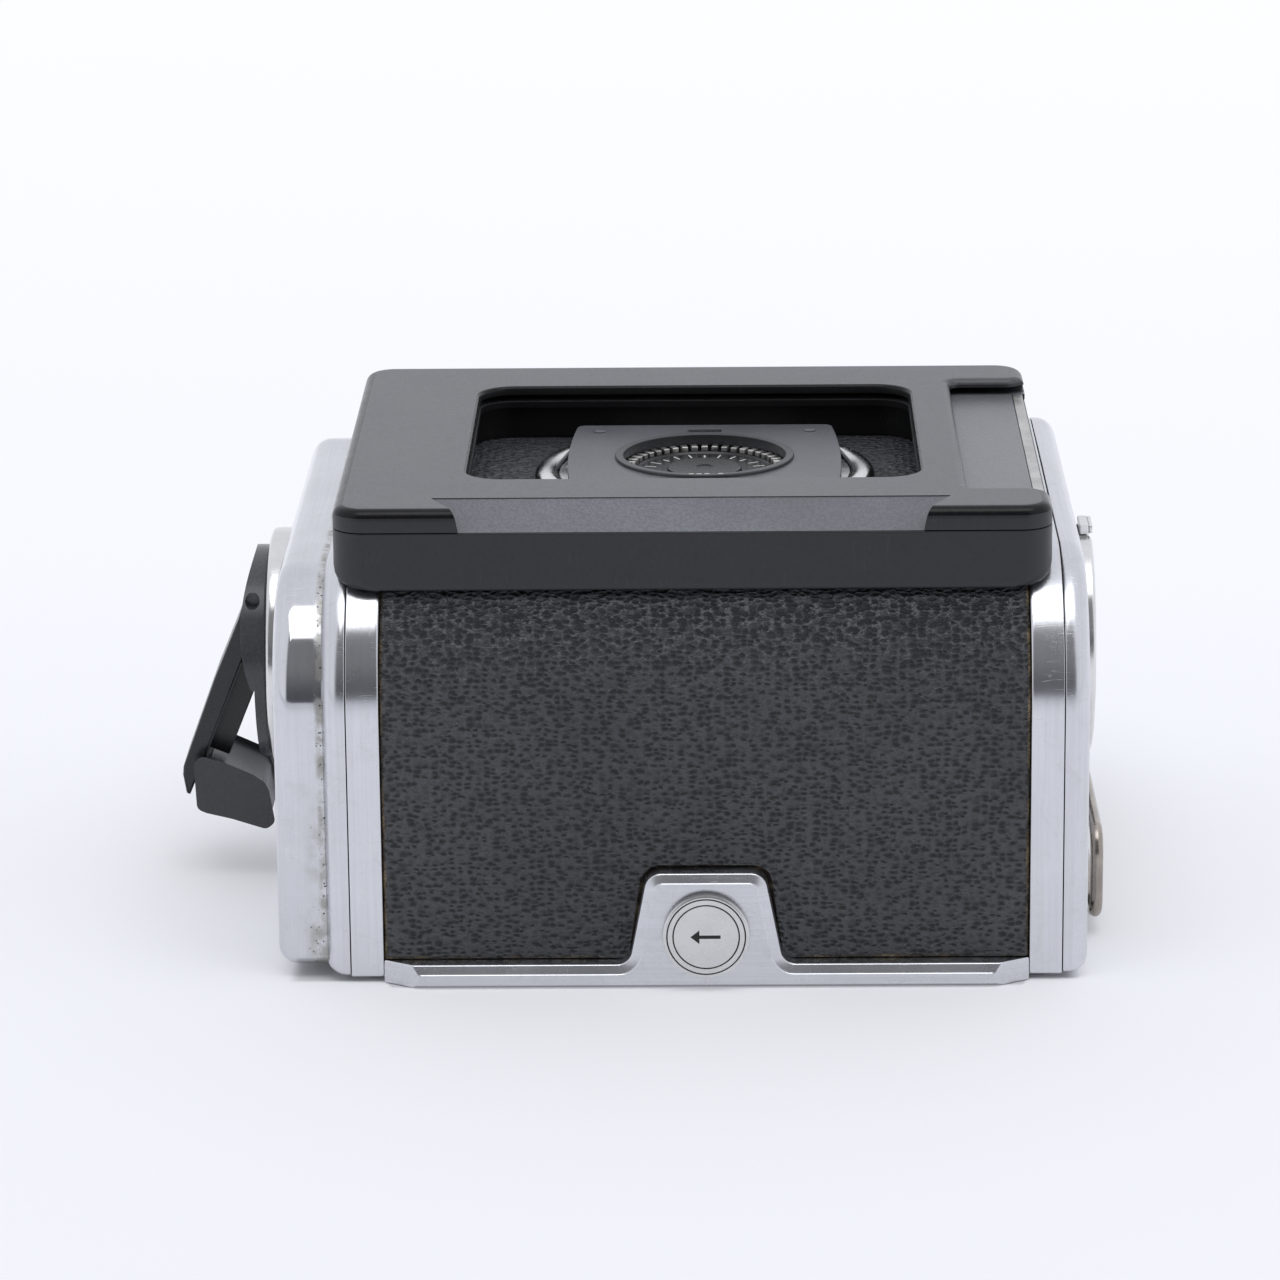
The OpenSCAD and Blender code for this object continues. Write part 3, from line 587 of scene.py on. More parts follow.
def corner_loop(points, n=7):
    """A polygon whose corners are rounded: points are (x, y, radius)."""
    out = []
    k = len(points)
    for i, (x, y, r) in enumerate(points):
        p, a, b = Vector((x, y)), Vector(points[i - 1][:2]), Vector(points[(i + 1) % k][:2])
        if r <= 0:
            out.append((x, y))
            continue
        u, w = (a - p).normalized(), (b - p).normalized()
        half = acos(max(-1, min(1, u.dot(w)))) / 2
        d = min(r / tan(half), (a - p).length * 0.49, (b - p).length * 0.49)
        rr = d * tan(half)
        c = p + (u + w).normalized() * (rr / sin(half))
        s, e = p + u * d, p + w * d
        a0, a1 = atan2(*(s - c).yx), atan2(*(e - c).yx)
        da = (a1 - a0 + PI) % (2 * PI) - PI
        out += [(c.x + rr * cos(a0 + da * j / n), c.y + rr * sin(a0 + da * j / n)) for j in range(n + 1)]
    return out


def shrink(points, d):
    """Moves a cornered polygon (x, y, radius), drawn anticlockwise, inwards by d."""
    out = []
    k = len(points)
    for i, (x, y, r) in enumerate(points):
        a, p, b = Vector(points[i - 1][:2]), Vector((x, y)), Vector(points[(i + 1) % k][:2])
        e, f = (p - a).normalized(), (b - p).normalized()
        n1, n2 = Vector((-e.y, e.x)), Vector((-f.y, f.x))
        m = (n1 + n2).normalized()
        q = p + m * (d / max(0.3, m.dot(n1)))
        convex = e.x * f.y - e.y * f.x > 0
        out.append((q.x, q.y, 0 if r == 0 else max(r - d, 0.03) if convex else r + d))
    return out


def offset(loop, d):
    """Moves a counter-clockwise loop inwards by d."""
    out = []
    k = len(loop)
    for i in range(k):
        a, p, b = Vector(loop[i - 1]), Vector(loop[i]), Vector(loop[(i + 1) % k])
        e, f = p - a, b - p
        e = e.normalized() if e.length > 1e-9 else f.normalized()
        f = f.normalized() if f.length > 1e-9 else e
        n1, n2 = Vector((-e.y, e.x)), Vector((-f.y, f.x))
        s = n1 + n2
        s = s.normalized() if s.length > 1e-9 else n1
        out.append(tuple(p + s * (d / max(0.35, s.dot(n1)))))
    return out


def join(name, objs):
    """One object from several, keeping each one's material."""
    bm = bmesh.new()
    mats, me = [], bpy.data.meshes.new(name)
    for o in objs:
        start = len(bm.faces)
        remap = []
        for m in o.data.materials:
            if m not in mats:
                mats.append(m)
            remap.append(mats.index(m))
        bm.from_mesh(o.data)
        bm.faces.ensure_lookup_table()
        for f in bm.faces[start:]:
            f.material_index = remap[f.material_index] if remap else 0
    bm.to_mesh(me)
    bm.free()
    for m in mats:
        me.materials.append(m)
    for o in objs:
        bpy.data.objects.remove(o)
    return add_object(name, me)


def done(o, slot, *nodes, body="magazine"):
    """Rides a finished piece on its body and puts it in place of CAD nodes."""
    w = o.modifiers.new("normals", "WEIGHTED_NORMAL")
    w.keep_sharp, w.weight = True, 70
    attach(o, body)
    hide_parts(*nodes)


def tube(name, path, r, mat, n=14, flat=0.92, side=Vector((1, 0, 0))):
    """A closed loop of wire along a path, slightly flattened towards side."""
    rings = []
    pts = [Vector(p) for p in path]
    for i, p in enumerate(pts):
        t = (pts[(i + 1) % len(pts)] - pts[i - 1]).normalized()
        u = (side - t * side.dot(t)).normalized()
        w = t.cross(u)
        rings.append([tuple(p + u * (r * flat * x) + w * (r * y)) for x, y in ring_loop(0, 0, 1, n)])
    return stack(name, rings, mat, closed=True, smooth=60)


# ---- casing
OUTER = (44, 0.5, 46.6, 16)     # half height, front, back and corner radius of the magazine's side view
SIDE = (*OUTER, 1.0)            # the same for the two side plates, with a rounder front edge
PLATE_X, HOUSING_X = 42.6, -48  # outer faces of the side plates and of the gear housing
GATE = 28                       # half the film gate


def casing():
    rings = []

    def ring(x, hy, z0, z1, r, rf, inset=0.0):
        rings.append([(x, y, z) for y, z in side_outline(hy, z0, z1, r, rf, inset)])

    ring(-39.7, 42.2, 4.6, 44.8, 14.2, 0.5)
    ring(-39.7, *OUTER, 0.5, 0.14)
    ring(-39.66, *OUTER, 0.5, 0.05)
    ring(-39.56, *OUTER, 0.5, 0.0)
    for x, i in ((-36.45, 0), (-36.2, 0.02), (-36.08, 0.09), (-36.02, 0.22)):
        ring(x, *OUTER, 0.5, i)
    ring(-36.0, 43.2, 0.5, 45.8, 15.2, 0.5)
    ring(36.0, 43.2, 0.5, 45.8, 15.2, 0.5)
    for x, i in ((36.02, 0.22), (36.08, 0.09), (36.2, 0.02), (36.45, 0)):
        ring(x, *OUTER, 0.5, i)
    ring(39.56, *OUTER, 0.5, 0.0)
    ring(39.66, *OUTER, 0.5, 0.05)
    ring(39.7, *OUTER, 0.5, 0.14)
    ring(39.7, 42.2, 4.6, 44.8, 14.2, 0.5)
    o = stack("casing_shell", rings, "casing", closed=True)
    return cut(o, box("c", -38.05, 38.05, -42.55, 42.55, -1, 2.25), box("c", -36.05, 36.05, -46, 46, -1, 2.25),
               box("c", -GATE, GATE, -GATE, GATE, -1, 6), box("c", -32.5, 41, -30.6, 30.6, 2.1, 3.1),
               box("c", -41, -34.5, 26.8, 39.2, -1, 6))


done(casing(), "satin_alloy", "casing")


def tab_loop(grow, low):
    """The plate's raised tab with its flared foot, drawn as (x, z)."""
    b, t, z = 8.35 + grow, 6.75 + grow, 13.2 + grow
    return corner_loop([(-b - 0.15, low, 1.9), (-t, z, 2.1), (t, z, 2.1), (b + 0.15, low, 1.9)])


def near_rail():
    """The front plate's raised near edge and its tab, with chamfered edges and sloping ends."""
    def outline(xe, d):
        zb = 0.02 + min(d * 0.4, 0.34)
        return corner_loop([(-xe, zb, 0.02), (xe, zb, 0.02), (xe, 2.6 - d, 0.25), (8.62 - d, 2.6 - d, 1.7 + d),
                            (6.52 - d, 13.2 - d, max(1.9 - d, 0.4)), (-6.52 + d, 13.2 - d, max(1.9 - d, 0.4)),
                            (-8.62 + d, 2.6 - d, 1.7 + d), (-xe, 2.6 - d, 0.25)], 9)

    def xe(y):
        return 35.97 - max(0.0, -y - 44.0) * 1.66

    steps = [(-43.3, 0), (-44.0, 0), (-45.6, 0), (-45.76, 0.02), (-45.87, 0.08), (-45.95, 0.18),
            (-46.24, 0.86), (-46.29, 0.96), (-46.34, 1.03), (-46.4, 1.08)]
    rings = [[(x, y, z) for x, z in outline(xe(y), i)] for y, i in steps]
    return stack("rail", rings, "ridge", smooth=30)


def front_plate():
    plate = prism("plate", [[(-38, -42.5), (-36, -42.5), (-36, -43.9), (36, -43.9), (36, -42.5), (38, -42.5),
                             (38, 42.5), (36, 42.5), (36, 43.9), (-36, 43.9), (-36, 42.5), (-38, 42.5)],
                            rounded(-GATE, GATE, -GATE, GATE, 0.8)[::-1]], 0, 2.2, "XY", 0.12, "gate_plate", 1)
    cuts = [box("c", -41, -34.5, 26.8, 39.2, -1, 6)]
    cuts += [box("c", x - 2.5, x + 2.5, -45, -42.4, -1, 1.5) for x in (-20, 20)]
    cuts += [box("c", x - 4, x + 4, 39.8, 42.6, -1, 1.4) for x in (-22, 22)]
    cuts += [rod("Z", (x, y, 0), -1, 0.92, 1.95, 32) for x in (-31, 31) for y in (-36, 36)]
    cut(plate, *cuts)
    return join("front_plate_detail", [plate, near_rail()])


done(front_plate(), "plate_metal", "front_plate")


def slotted_screw(axis, c, r, face, sign, depth=0.6):
    """Low domed screw head with a slot."""
    prof = [(face + sign * depth, r), (face + sign * 0.18, r), (face + sign * 0.05, r * 0.93),
            (face, r * 0.75), (face - sign * 0.03, r * 0.35), (face - sign * 0.035, 0.0)]
    o = revolve("head", axis, c, prof, "steel", 40)
    turn = rnd.uniform(0, PI)
    w = 0.17
    cs, sn = cos(turn), sin(turn)
    a, b = sorted((face - sign * 0.5, face + sign * 0.3))
    pts = []
    for t in (a, b):
        for u, v in ((-2 * r, -w), (2 * r, -w), (2 * r, w), (-2 * r, w)):
            p, q = u * cs - v * sn, u * sn + v * cs
            pts.append((t, c[1] + p, c[2] + q) if axis == "X" else (c[0] + p, c[1] + q, t))
    return cut(o, from_lists("c", pts, HEXAHEDRON))


done(join("front_screw_set", [slotted_screw("Z", (x, y, 0), 1.85, 0.12, 1)
        for x in (-31, 31) for y in (-36, 36)]),
     "steel", "front_screws")


# ---- leather
BEND_Y, BEND_Z, BEND_R = 28, 30.6, 15.93  # centre and radius of the skin's two bends
ARC = 25.0                                # length round one bend


def ripple(x, y, z, f):
    return noise.noise(Vector((x * f, y * f, z * f)))


def leather_cover():
    n_x = 64
    prof = [(-35.94, 0.62), (-35.93, 0.34), (-35.86, 0.16), (-35.7, 0.06), (-35.4, 0.0)]
    xs = prof + [(-35.4 + 70.8 * i / n_x, 0.0) for i in range(1, n_x)] + [(-x, i) for x, i in prof[::-1]]

    def loop(inset):
        y0, z0, z1, r = 43.93, 2.72, 46.53, BEND_R
        y, b, rr = y0 - inset, z1 - inset, r - inset
        up = [(y, z0 + (b - rr - z0) * i / 20) for i in range(20)]
        across = [(y - rr - 2 * (y - rr) * i / 40, b) for i in range(1, 40)]
        pts = up + arc(y - rr, b - rr, rr, 0, 90, 24) + across
        pts += arc(-y + rr, b - rr, rr, 90, 180, 24) + [(-p, q) for p, q in up[::-1]]
        return pts

    verts, faces = [], []
    k = len(loop(0))
    for x, i in xs:
        for y, z in loop(i):
            w = ripple(x, y, z, 0.16) * 0.035 + ripple(x, y, z, 0.6) * 0.018
            c = Vector((0, max(-BEND_Y, min(BEND_Y, y)), min(BEND_Z, z)))
            d = Vector((0, y, z)) - c
            d = d.normalized() if d.length > 1e-6 else Vector((0, 0, 1))
            verts.append((x, y + d.y * w, z + d.z * w))
    n_out = len(verts)
    for x, i in xs:
        verts += [(x, y, z) for y, z in loop(0.68)]
    rows = len(xs)
    for a in range(rows - 1):
        for j in range(k - 1):
            p = a * k + j
            faces.append((p, p + 1, p + k + 1, p + k))
            q = n_out + p
            faces.append((q, q + k, q + k + 1, q + 1))
    for a in range(rows - 1):
        for j in (0, k - 1):
            p, q = a * k + j, n_out + a * k + j
            faces.append((p, p + k, q + k, q))
    for j in range(k - 1):
        for a in (0, rows - 1):
            p, q = a * k + j, n_out + a * k + j
            faces.append((p, p + 1, q + 1, q))
    o = from_lists("leather_skin", verts, faces, "leather", 50, False)
    ragged = []
    for x, z in tab_loop(0.28, 1.5):
        w = noise.noise(Vector((x * 1.3, z * 1.3, 4.0))) * 0.16
        ragged.append((x * (1 + w / 8), z + w))
    return cut(o, prism("c", [ragged], -48, -40, "XZ", 0.0), smooth=50)


def unroll(o):
    """Lays the skin flat: across in millimetres, and along from the near lower edge over the top."""
    me = o.data
    uv = me.uv_layers.new(name="skin")
    for lo_ in me.loops:
        x, y, z = (c / MM for c in me.vertices[lo_.vertex_index].co)
        if z < BEND_Z:
            s = z if y < 0 else 167.7 - z
        elif abs(y) < BEND_Y:
            s = BEND_Z + ARC + y + BEND_Y
        else:
            a = atan2(z - BEND_Z, abs(y) - BEND_Y)
            s = BEND_Z + BEND_R * a if y < 0 else 111.6 + BEND_R * (PI / 2 - a)
        uv.data[lo_.index].uv = (x, s)
    return o


done(unroll(leather_cover()), "leather_black", "leather_cover")


# ---- catch button
def catch_button():
    c = (0, 0, 6.3)
    f = -47.5
    prof = [(-45.3, 1.3), (-46.47, 1.3), (-46.47, 4.85), (-47.22, 4.85), (-47.34, 4.81), (-47.41, 4.7),
            (f + 0.02, 4.52), (f + 0.02, 4.44), (f + 0.13, 4.40), (f + 0.13, 4.32), (f, 4.27), (f, 3.76),
            (f + 0.13, 3.71), (f + 0.13, 3.63), (f + 0.01, 3.59), (f, 2.0), (f, 0.0)]
    body = revolve("b", "Y", c, prof, "button", 128)
    grooves = [revolve("g", "Y", c, [(f + 0.128, r + 0.05), (f + 0.118, r + 0.045), (f + 0.118, r - 0.045),
            (f + 0.128, r - 0.05)], "ink", 128, hollow=True) for r in (4.36, 3.67)]
    # a plain arrow for the way the catch slides
    arrow = prism("a", [[(-1.75, 6.3), (-0.75, 7.1), (-0.75, 6.5), (1.6, 6.5), (1.6, 6.1), (-0.75, 6.1),
            (-0.75, 5.5)]],
            f - 0.006, f + 0.05, "XZ", 0.0, "ink")
    return join("button_detail", [body, *grooves, arrow])


done(catch_button(), "satin_chrome", "catch_button", body="catch")


# ---- drive side
done(side_slab("drive_side_detail", "plate", *SIDE,
        [(-39.76, 0.16), (-39.8, 0.05), (-39.9, 0.0)] + roll(-PLATE_X, -1, 2.5)),
     "satin_alloy", "drive_side_plate")

# windows as (y, z, radius), and screws as (y, z)
CW, SW = (-31, 26.2, 2.6), (-33, 10.5, 1.8)
HS = [(-38, 20), (38, 20), (-30, 39.5), (30, 39.5), (38, 5), (-38, 5)]


def gear_housing():
    prof = [(-42.4, 0.0), (-42.62, 0.0)] + roll(HOUSING_X, -1, 2.3)
    o = side_slab("housing_detail", "housing", 42.5, 1.3, 44.6, 14.5, 1.6, prof)
    holes = [rod("X", (0, y, z), -49, -45.4, r, 64) for y, z, r in (CW, SW)]
    holes += [rod("X", (0, y, z), -49, -47.4, 1.5, 40) for y, z in HS]
    cut(o, *holes)
    rims = []
    for y, z, r in (CW, SW):
        rims.append(revolve("r", "X", (0, y, z), [(-47.9, r - 0.02), (-48.0, r + 0.0), (-48.09, r + 0.12),
                (-48.1, r + 0.3), (-48.06, r + 0.46), (-47.97, r + 0.5), (-47.9, r + 0.5)], "escutcheon", 64,
                hollow=True))
    return join("housing_set", [o, *rims])


done(gear_housing(), "satin_alloy", "gear_housing")
done(join("housing_screw_set", [slotted_screw("X", (0, y, z), 1.42, -47.93, 1, 0.5) for y, z in HS]), "steel",
        "housing_screws")
for nm, (y, z, r) in (("counter_window", CW), ("signal_window", SW)):
    lens = revolve(nm + "_lens", "X", (0, y, z), [(-47.35, 0), (-47.35, r - 0.04), (-47.85, r - 0.04),
            (-47.93, r * 0.8), (-47.98, r * 0.4), (-48.0, 0)], "window", 48)
    done(lens, "window", nm)


def counter_dial():
    c = (0, -25, 26.2)
    disc = revolve("d", "X", c, [(-45.9, 8.95), (-46.6, 8.95), (-46.7, 8.85), (-46.7, 0)], "dial", 96)
    stem = rod("X", c, -41.6, -45.92, 1.19, 32, "steel")
    parts = [disc, stem]
    for i in range(12):
        cu = bpy.data.curves.new("t", "FONT")
        cu.body, cu.size, cu.extrude = str(i + 1), 2.3 * MM, 0.01 * MM
        cu.align_x = cu.align_y = "CENTER"
        t = add_object("t", cu)
        me = solid_mesh(t)
        bpy.data.objects.remove(t)
        # read from outside, upright where it passes the window
        turn = Matrix(((0, 0, -1), (-1, 0, 0), (0, 1, 0))).to_4x4()
        spin = Matrix.Rotation(2 * PI * i / 12, 4, "X")
        middle = Matrix.Translation((-46.712 * MM, c[1] * MM, c[2] * MM))
        place = middle @ spin @ Matrix.Translation((0, -6.0 * MM, 0))
        me.transform(place @ turn)
        me.materials.clear()
        parts.append(link("n", me, "white", 0))
    return join("counter_dial_detail", parts)


done(counter_dial(), "dial_black", "counter_dial", body="counter")


# ---- crank
CZ = 26.2             # height of the crank's axis
HUB = -52.4           # the hub's outer face
PIN = (-52.6, 34.66)  # the arm's pin as (x, z)
PIN_AT = (PIN[0], 0, PIN[1])


def escutcheon():
    prof = [(-47.9, 14.5), (-50.2, 14.5), (-50.6, 14.4), (-50.83, 14.15), (-50.95, 13.8), (-50.95, 13.2),
            (-50.8, 13.05), (-50.8, 12.85), (-50.95, 12.75), (-50.95, 2.6)]
    return revolve("escutcheon_detail", "X", (0, 0, CZ), prof, "escutcheon", 128)


done(escutcheon(), "satin_chrome", "crank_escutcheon")


def crank_hub():
    """A thick disc with a convex raised front, slotted for the arm."""
    side = [(-51.05, 12.1), (-51.1, 12.4), (-51.25, 12.5), (-56.0, 12.5)]
    drum = revolve("d", "X", (0, 0, CZ), side, "hub", 160)
    cx, cz, r = HUB + 19.47, CZ + 5.4, 21.0
    top = [(cx - sqrt(r * r - (z - cz) ** 2), z) for z in [40 - 15.3 * i / 30 for i in range(31)]]
    side = [(-50.0, 10.0), (-50.0, 40.0)] + top + [(HUB, CZ - 1.5), (HUB, 10.0)]
    cut(drum, prism("c", [side], -20, 20, "XZ", 0.0), op="INTERSECT", smooth=25)
    soften(drum, 0.28, 25)
    slot_ = stack("c", [[(x, y, z) for y, z in rounded(-4.2, 4.2, CZ - 4.7, PIN[1] + 2.2, 0.6, 4)]
            for x in (-60, HUB + 0.9)])
    cut(drum, slot_, rod("Y", PIN_AT, -13, -8.4, 0.85, 40),
        rod("Y", PIN_AT, 8.4, 13, 0.85, 40), smooth=30)
    spindle = rod("X", (0, 0, CZ), -36.4, -51.2, 2.49, 48, "steel")
    return join("crank_hub_detail", [drum, spindle])


done(crank_hub(), "crank_black", "crank_hub", body="crank")
done(revolve("crank_pin_detail", "Y", (PIN[0], 0, PIN[1]),
        [(-8.35, 0.0), (-8.35, 0.4), (-8.2, 0.59), (8.2, 0.59), (8.35, 0.4), (8.35, 0.0)], "black", 32),
     "steel", "crank_pin", body="crank")

ARM = 26.5          # length of the arm
REST = radians(22)  # how far it stands off in the photo


def on_arm(s, t):
    """The (x, z) point s along the arm from the pin and t outwards."""
    return (PIN[0] - sin(REST) * s - cos(REST) * t, PIN[1] - cos(REST) * s + sin(REST) * t)


def crank_arm():
    side = corner_loop([(-0.9, -0.5, 0.4), (-0.9, 0.5, 0.5), (0.2, 1.0, 0.7), (4.0, 0.66, 0), (12.0, 0.74, 0),
            (ARM - 3, 0.4, 0.8), (ARM - 2, 0.1, 0.8), (ARM, -1.1, 0.3), (ARM, -1.56, 0.15), (2.2, -1.56, 0.4),
            (1.0, -1.0, 0.3), (0.1, -1.0, 0)], 5)
    arm = prism("a", [[on_arm(s, t) for s, t in side]], -4.0, 4.0, "XZ", 0.3, "crank", 3)
    cut(arm, rod("Y", PIN_AT, -6, 6, 0.64, 32), smooth=38)
    rib = corner_loop([(7.3, -1.4, 0), (9.8, -4.2, 0.6), (ARM - 5.6, -4.2, 0.2), (ARM - 5.6, -1.4, 0)], 4)
    web = prism("w", [[on_arm(s, t) for s, t in rib]], -1.5, 1.5, "XZ", 0.2, "crank", 2)
    lip = corner_loop([(9.0, -1.4, 0), (9.0, -1.62, 0), (ARM - 6.0, -1.62, 0), (ARM - 6.0, -1.4, 0)], 2)
    rims = [prism("l", [[on_arm(s, t) for s, t in lip]], y, y + 0.7, "XZ", 0.0, "crank") for y in (-3.9, 3.2)]
    return join("crank_arm_detail", [arm, web, *rims])


done(crank_arm(), "crank_black", "crank_arm", body="crank_arm")


def crank_grip():
    """Flared finger grip: straight sides, top face slightly hollowed across."""
    tail = [(ARM - 5.35, -4.0, 0), (ARM - 5.2, -7.5, 0), (ARM - 4.85, -8.9, 0.6), (ARM - 4.3, -9.5, 0.8),
            (ARM - 1.2, -11.4, 0.35), (ARM - 0.55, -11.05, 0.35), (ARM - 0.4, -9.1, 0), (ARM - 0.25, -7.0, 0),
            (ARM + 0.18, -4.1, 0)]
    inner = ([(ARM - 4.6, -1.63, 0.3), (ARM - 5.4, -2.3, 0.5)] + tail + [(ARM + 0.1, -3.3, 0.4),
            (ARM - 3.3, -1.63, 0.3)])[::-1]
    cheek = ([(ARM - 4.4, -1.15, 0.3), (ARM - 5.1, -1.4, 0.4)] + tail + [(ARM + 0.18, -3.25, 0.4),
            (ARM - 1.6, -2.45, 0.3)])[::-1]
    bend = 0.55
    ends = [(bend * (1 - cos(PI / 2 * k / 4)), bend * (1 - sin(PI / 2 * k / 4))) for k in range(5)]
    half = [(-6.0 + t, d) for t, d in ends] + [(-4.25, 0.0), (-4.12, 0.0), (-3.0, 0.0), (-1.5, 0.0)]
    rings = []
    for y, d in half + [(0.0, 0.0)] + [(-y, d) for y, d in half[::-1]]:
        raw = cheek if abs(y) > 4.2 else inner
        loop = corner_loop(shrink(raw, d) if d > 1e-6 else raw, 5)
        dish = 0.5 * (1 - (y / 6.0) ** 2)
        flat = [on_arm(s + dish * max(0.0, min(1.0, (ARM - 4.6 - s) / 0.6)), t) for s, t in loop]
        rings.append([(x, y, z) for x, z in flat])
    return stack("crank_grip_detail", rings, "grip", smooth=40)


done(crank_grip(), "crank_black", "crank_grip", body="crank_arm")


# ---- insert end
LOCK = (0, 0, 27)  # centre of the lock


def end_plate():
    o = side_slab("end_plate_detail", "plate", *SIDE,
            [(39.76, 0.16), (39.8, 0.05), (39.9, 0.0)] + roll(PLATE_X, 1, 2.3))
    return cut(o, box("c", 39, 44, -30.5, 30.5, 2.33, 3.07), rod("X", LOCK, 39, 43, 3.95, 48))


done(end_plate(), "satin_alloy", "insert_end_plate", body="film_insert")


def lock_disc():
    prof = [(42.66, 13.5), (44.6, 13.5), (44.95, 13.38), (45.15, 13.1), (45.2, 12.75), (45.1, 12.3),
            (44.8, 12.05), (43.75, 11.8), (43.52, 11.6), (43.5, 11.2), (43.5, 0.0)]
    o = revolve("d", "X", LOCK, prof, "lock", 128)
    cut(o, box("c", 43.5, 47, -2.6, 2.6, 35, 42))
    stem = rod("X", LOCK, 39.0, 42.8, 3.89, 48, "steel")
    ears = []
    for s in (-1, 1):
        e = prism("e", [corner_loop([(43.4, 25.95, 0), (43.4, 28.05, 0), (45.0, 28.05, 0.75),
                (45.0, 25.95, 0.75)][::-1], 6)], s * 9.7 - 0.88, s * 9.7 + 0.88, "XZ", 0.15, "lock", 2)
        ears.append(cut(e, rod("Y", (44.3, 0, 27), s * 9.7 - 2, s * 9.7 + 2, 0.45, 24)))
    return join("lock_disc_detail", [o, stem, *ears])


done(lock_disc(), "satin_chrome", "lock_disc", body="lock")


def key_bow():
    neck = [(2.25, 35.5), (2.25, 41.4), (-2.25, 41.4), (-2.25, 35.5)]
    outer = arc(0, 27, 8.5, 0, 75, 12) + neck + arc(0, 27, 8.5, 105, 180, 12) + [(-8.5, 26.5), (8.5, 26.5)]
    inner = arc(0, 27.8, 5.1, 8, 172, 20)
    slot_ = rounded(-1.2, 1.2, 36.5, 38.0, 0.4, 4)
    bow = prism("k", [outer, inner[::-1], slot_[::-1]], 43.72, 44.88, "YZ", 0.22, "lock", 3)
    pin = revolve("p", "Y", (44.3, 0, 27), [(-10.4, 0.0), (-10.4, 0.3), (-10.3, 0.4), (10.3, 0.4), (10.4, 0.3),
            (10.4, 0.0)], "steel", 24)
    lip = box("l", 44.85, 45.28, -2.2, 2.2, 40.4, 41.38, "lock", 0.12)
    return join("key_bow_detail", [bow, pin, lip])


done(key_bow(), "satin_chrome", "key_bow", body="key")


def slide_handle():
    pts = corner_loop([(-28.75, 2.25, 2.6), (28.75, 2.25, 2.6), (28.75, 11.95, 2.6), (-28.75, 11.95, 2.6)], 8)
    loop = tube("h", [(44.45, y, z) for y, z in pts], 0.8, "handle")
    clip = box("c", 43.7, 44.35, -24, 24, 2.0, 3.4, "handle", 0.15)
    rivets = [revolve("r", "X", (0, y, 2.7), [(44.3, 0.55), (44.5, 0.5), (44.58, 0.3), (44.6, 0)], "steel", 20)
            for y in (-20, -7, 7, 20)]
    return join("slide_handle_detail", [loop, clip, *rivets])


done(slide_handle(), "handle_steel", "slide_handle", body="dark_slide")


# ---- slide holder
HX0, HX1, HY0, HY1 = -41.2, 38.6, -38.6, 31.8   # its outline
WX0, WX1, WY0, WY1 = -26.8, 24.4, -24.2, 20.6   # its window
NX, NY0, NY1, FLOOR = 29.5, -29.0, 23.0, 51.15  # the finger notch and its floor


def holder_base():
    """Lower half of the holder: rounded underneath at its ends, open over the dial."""
    rows = [(43.72, 3.0, 0.5), (43.78, 2.2, 0.2), (43.95, 1.45, 0.08), (44.25, 0.85, 0.02), (44.7, 0.4, 0.0),
            (45.3, 0.12, 0.0), (46.2, 0.0, 0.0), (50.2, 0.0, 0.0), (50.32, 0.04, 0.04), (50.38, 0.14, 0.14)]
    loops = [(z, rounded(HX0 + i, HX1 - i, HY0 + j, HY1 - j, 3.5 - min(i, 1.0) * 0.5, 10)) for z, i, j in rows]
    o = layers("base", loops, "holder_side", 40)
    body = side_slab("c", None, 44.2, -1, 46.63, 16.15, 0.5, [(-60, 0), (60, 0)])
    window = layers("c", [(z, rounded(WX0 - 0.7, WX1 + 0.7, WY0 - 0.8, WY1 + 0.8, 4.5, 10)) for z in (40, 60)])
    cut(o, window, body, smooth=40)
    o.data.materials.append(M["holder_inner"])  # slot 1: the window's walls, painted near black as painted shade
    for p in o.data.polygons:
        c = p.center / MM
        if abs(p.normal.z) < 0.5 and abs(c.x) < 29 and -30 < c.y < 26:
            p.material_index = 1
    return o


done(holder_base(), "holder_black", "holder_base")


def facet_z(y):
    """Height of the sloping facet, set a hair below the edges round it."""
    return 52.88 + (y + 33.0) * 0.4554


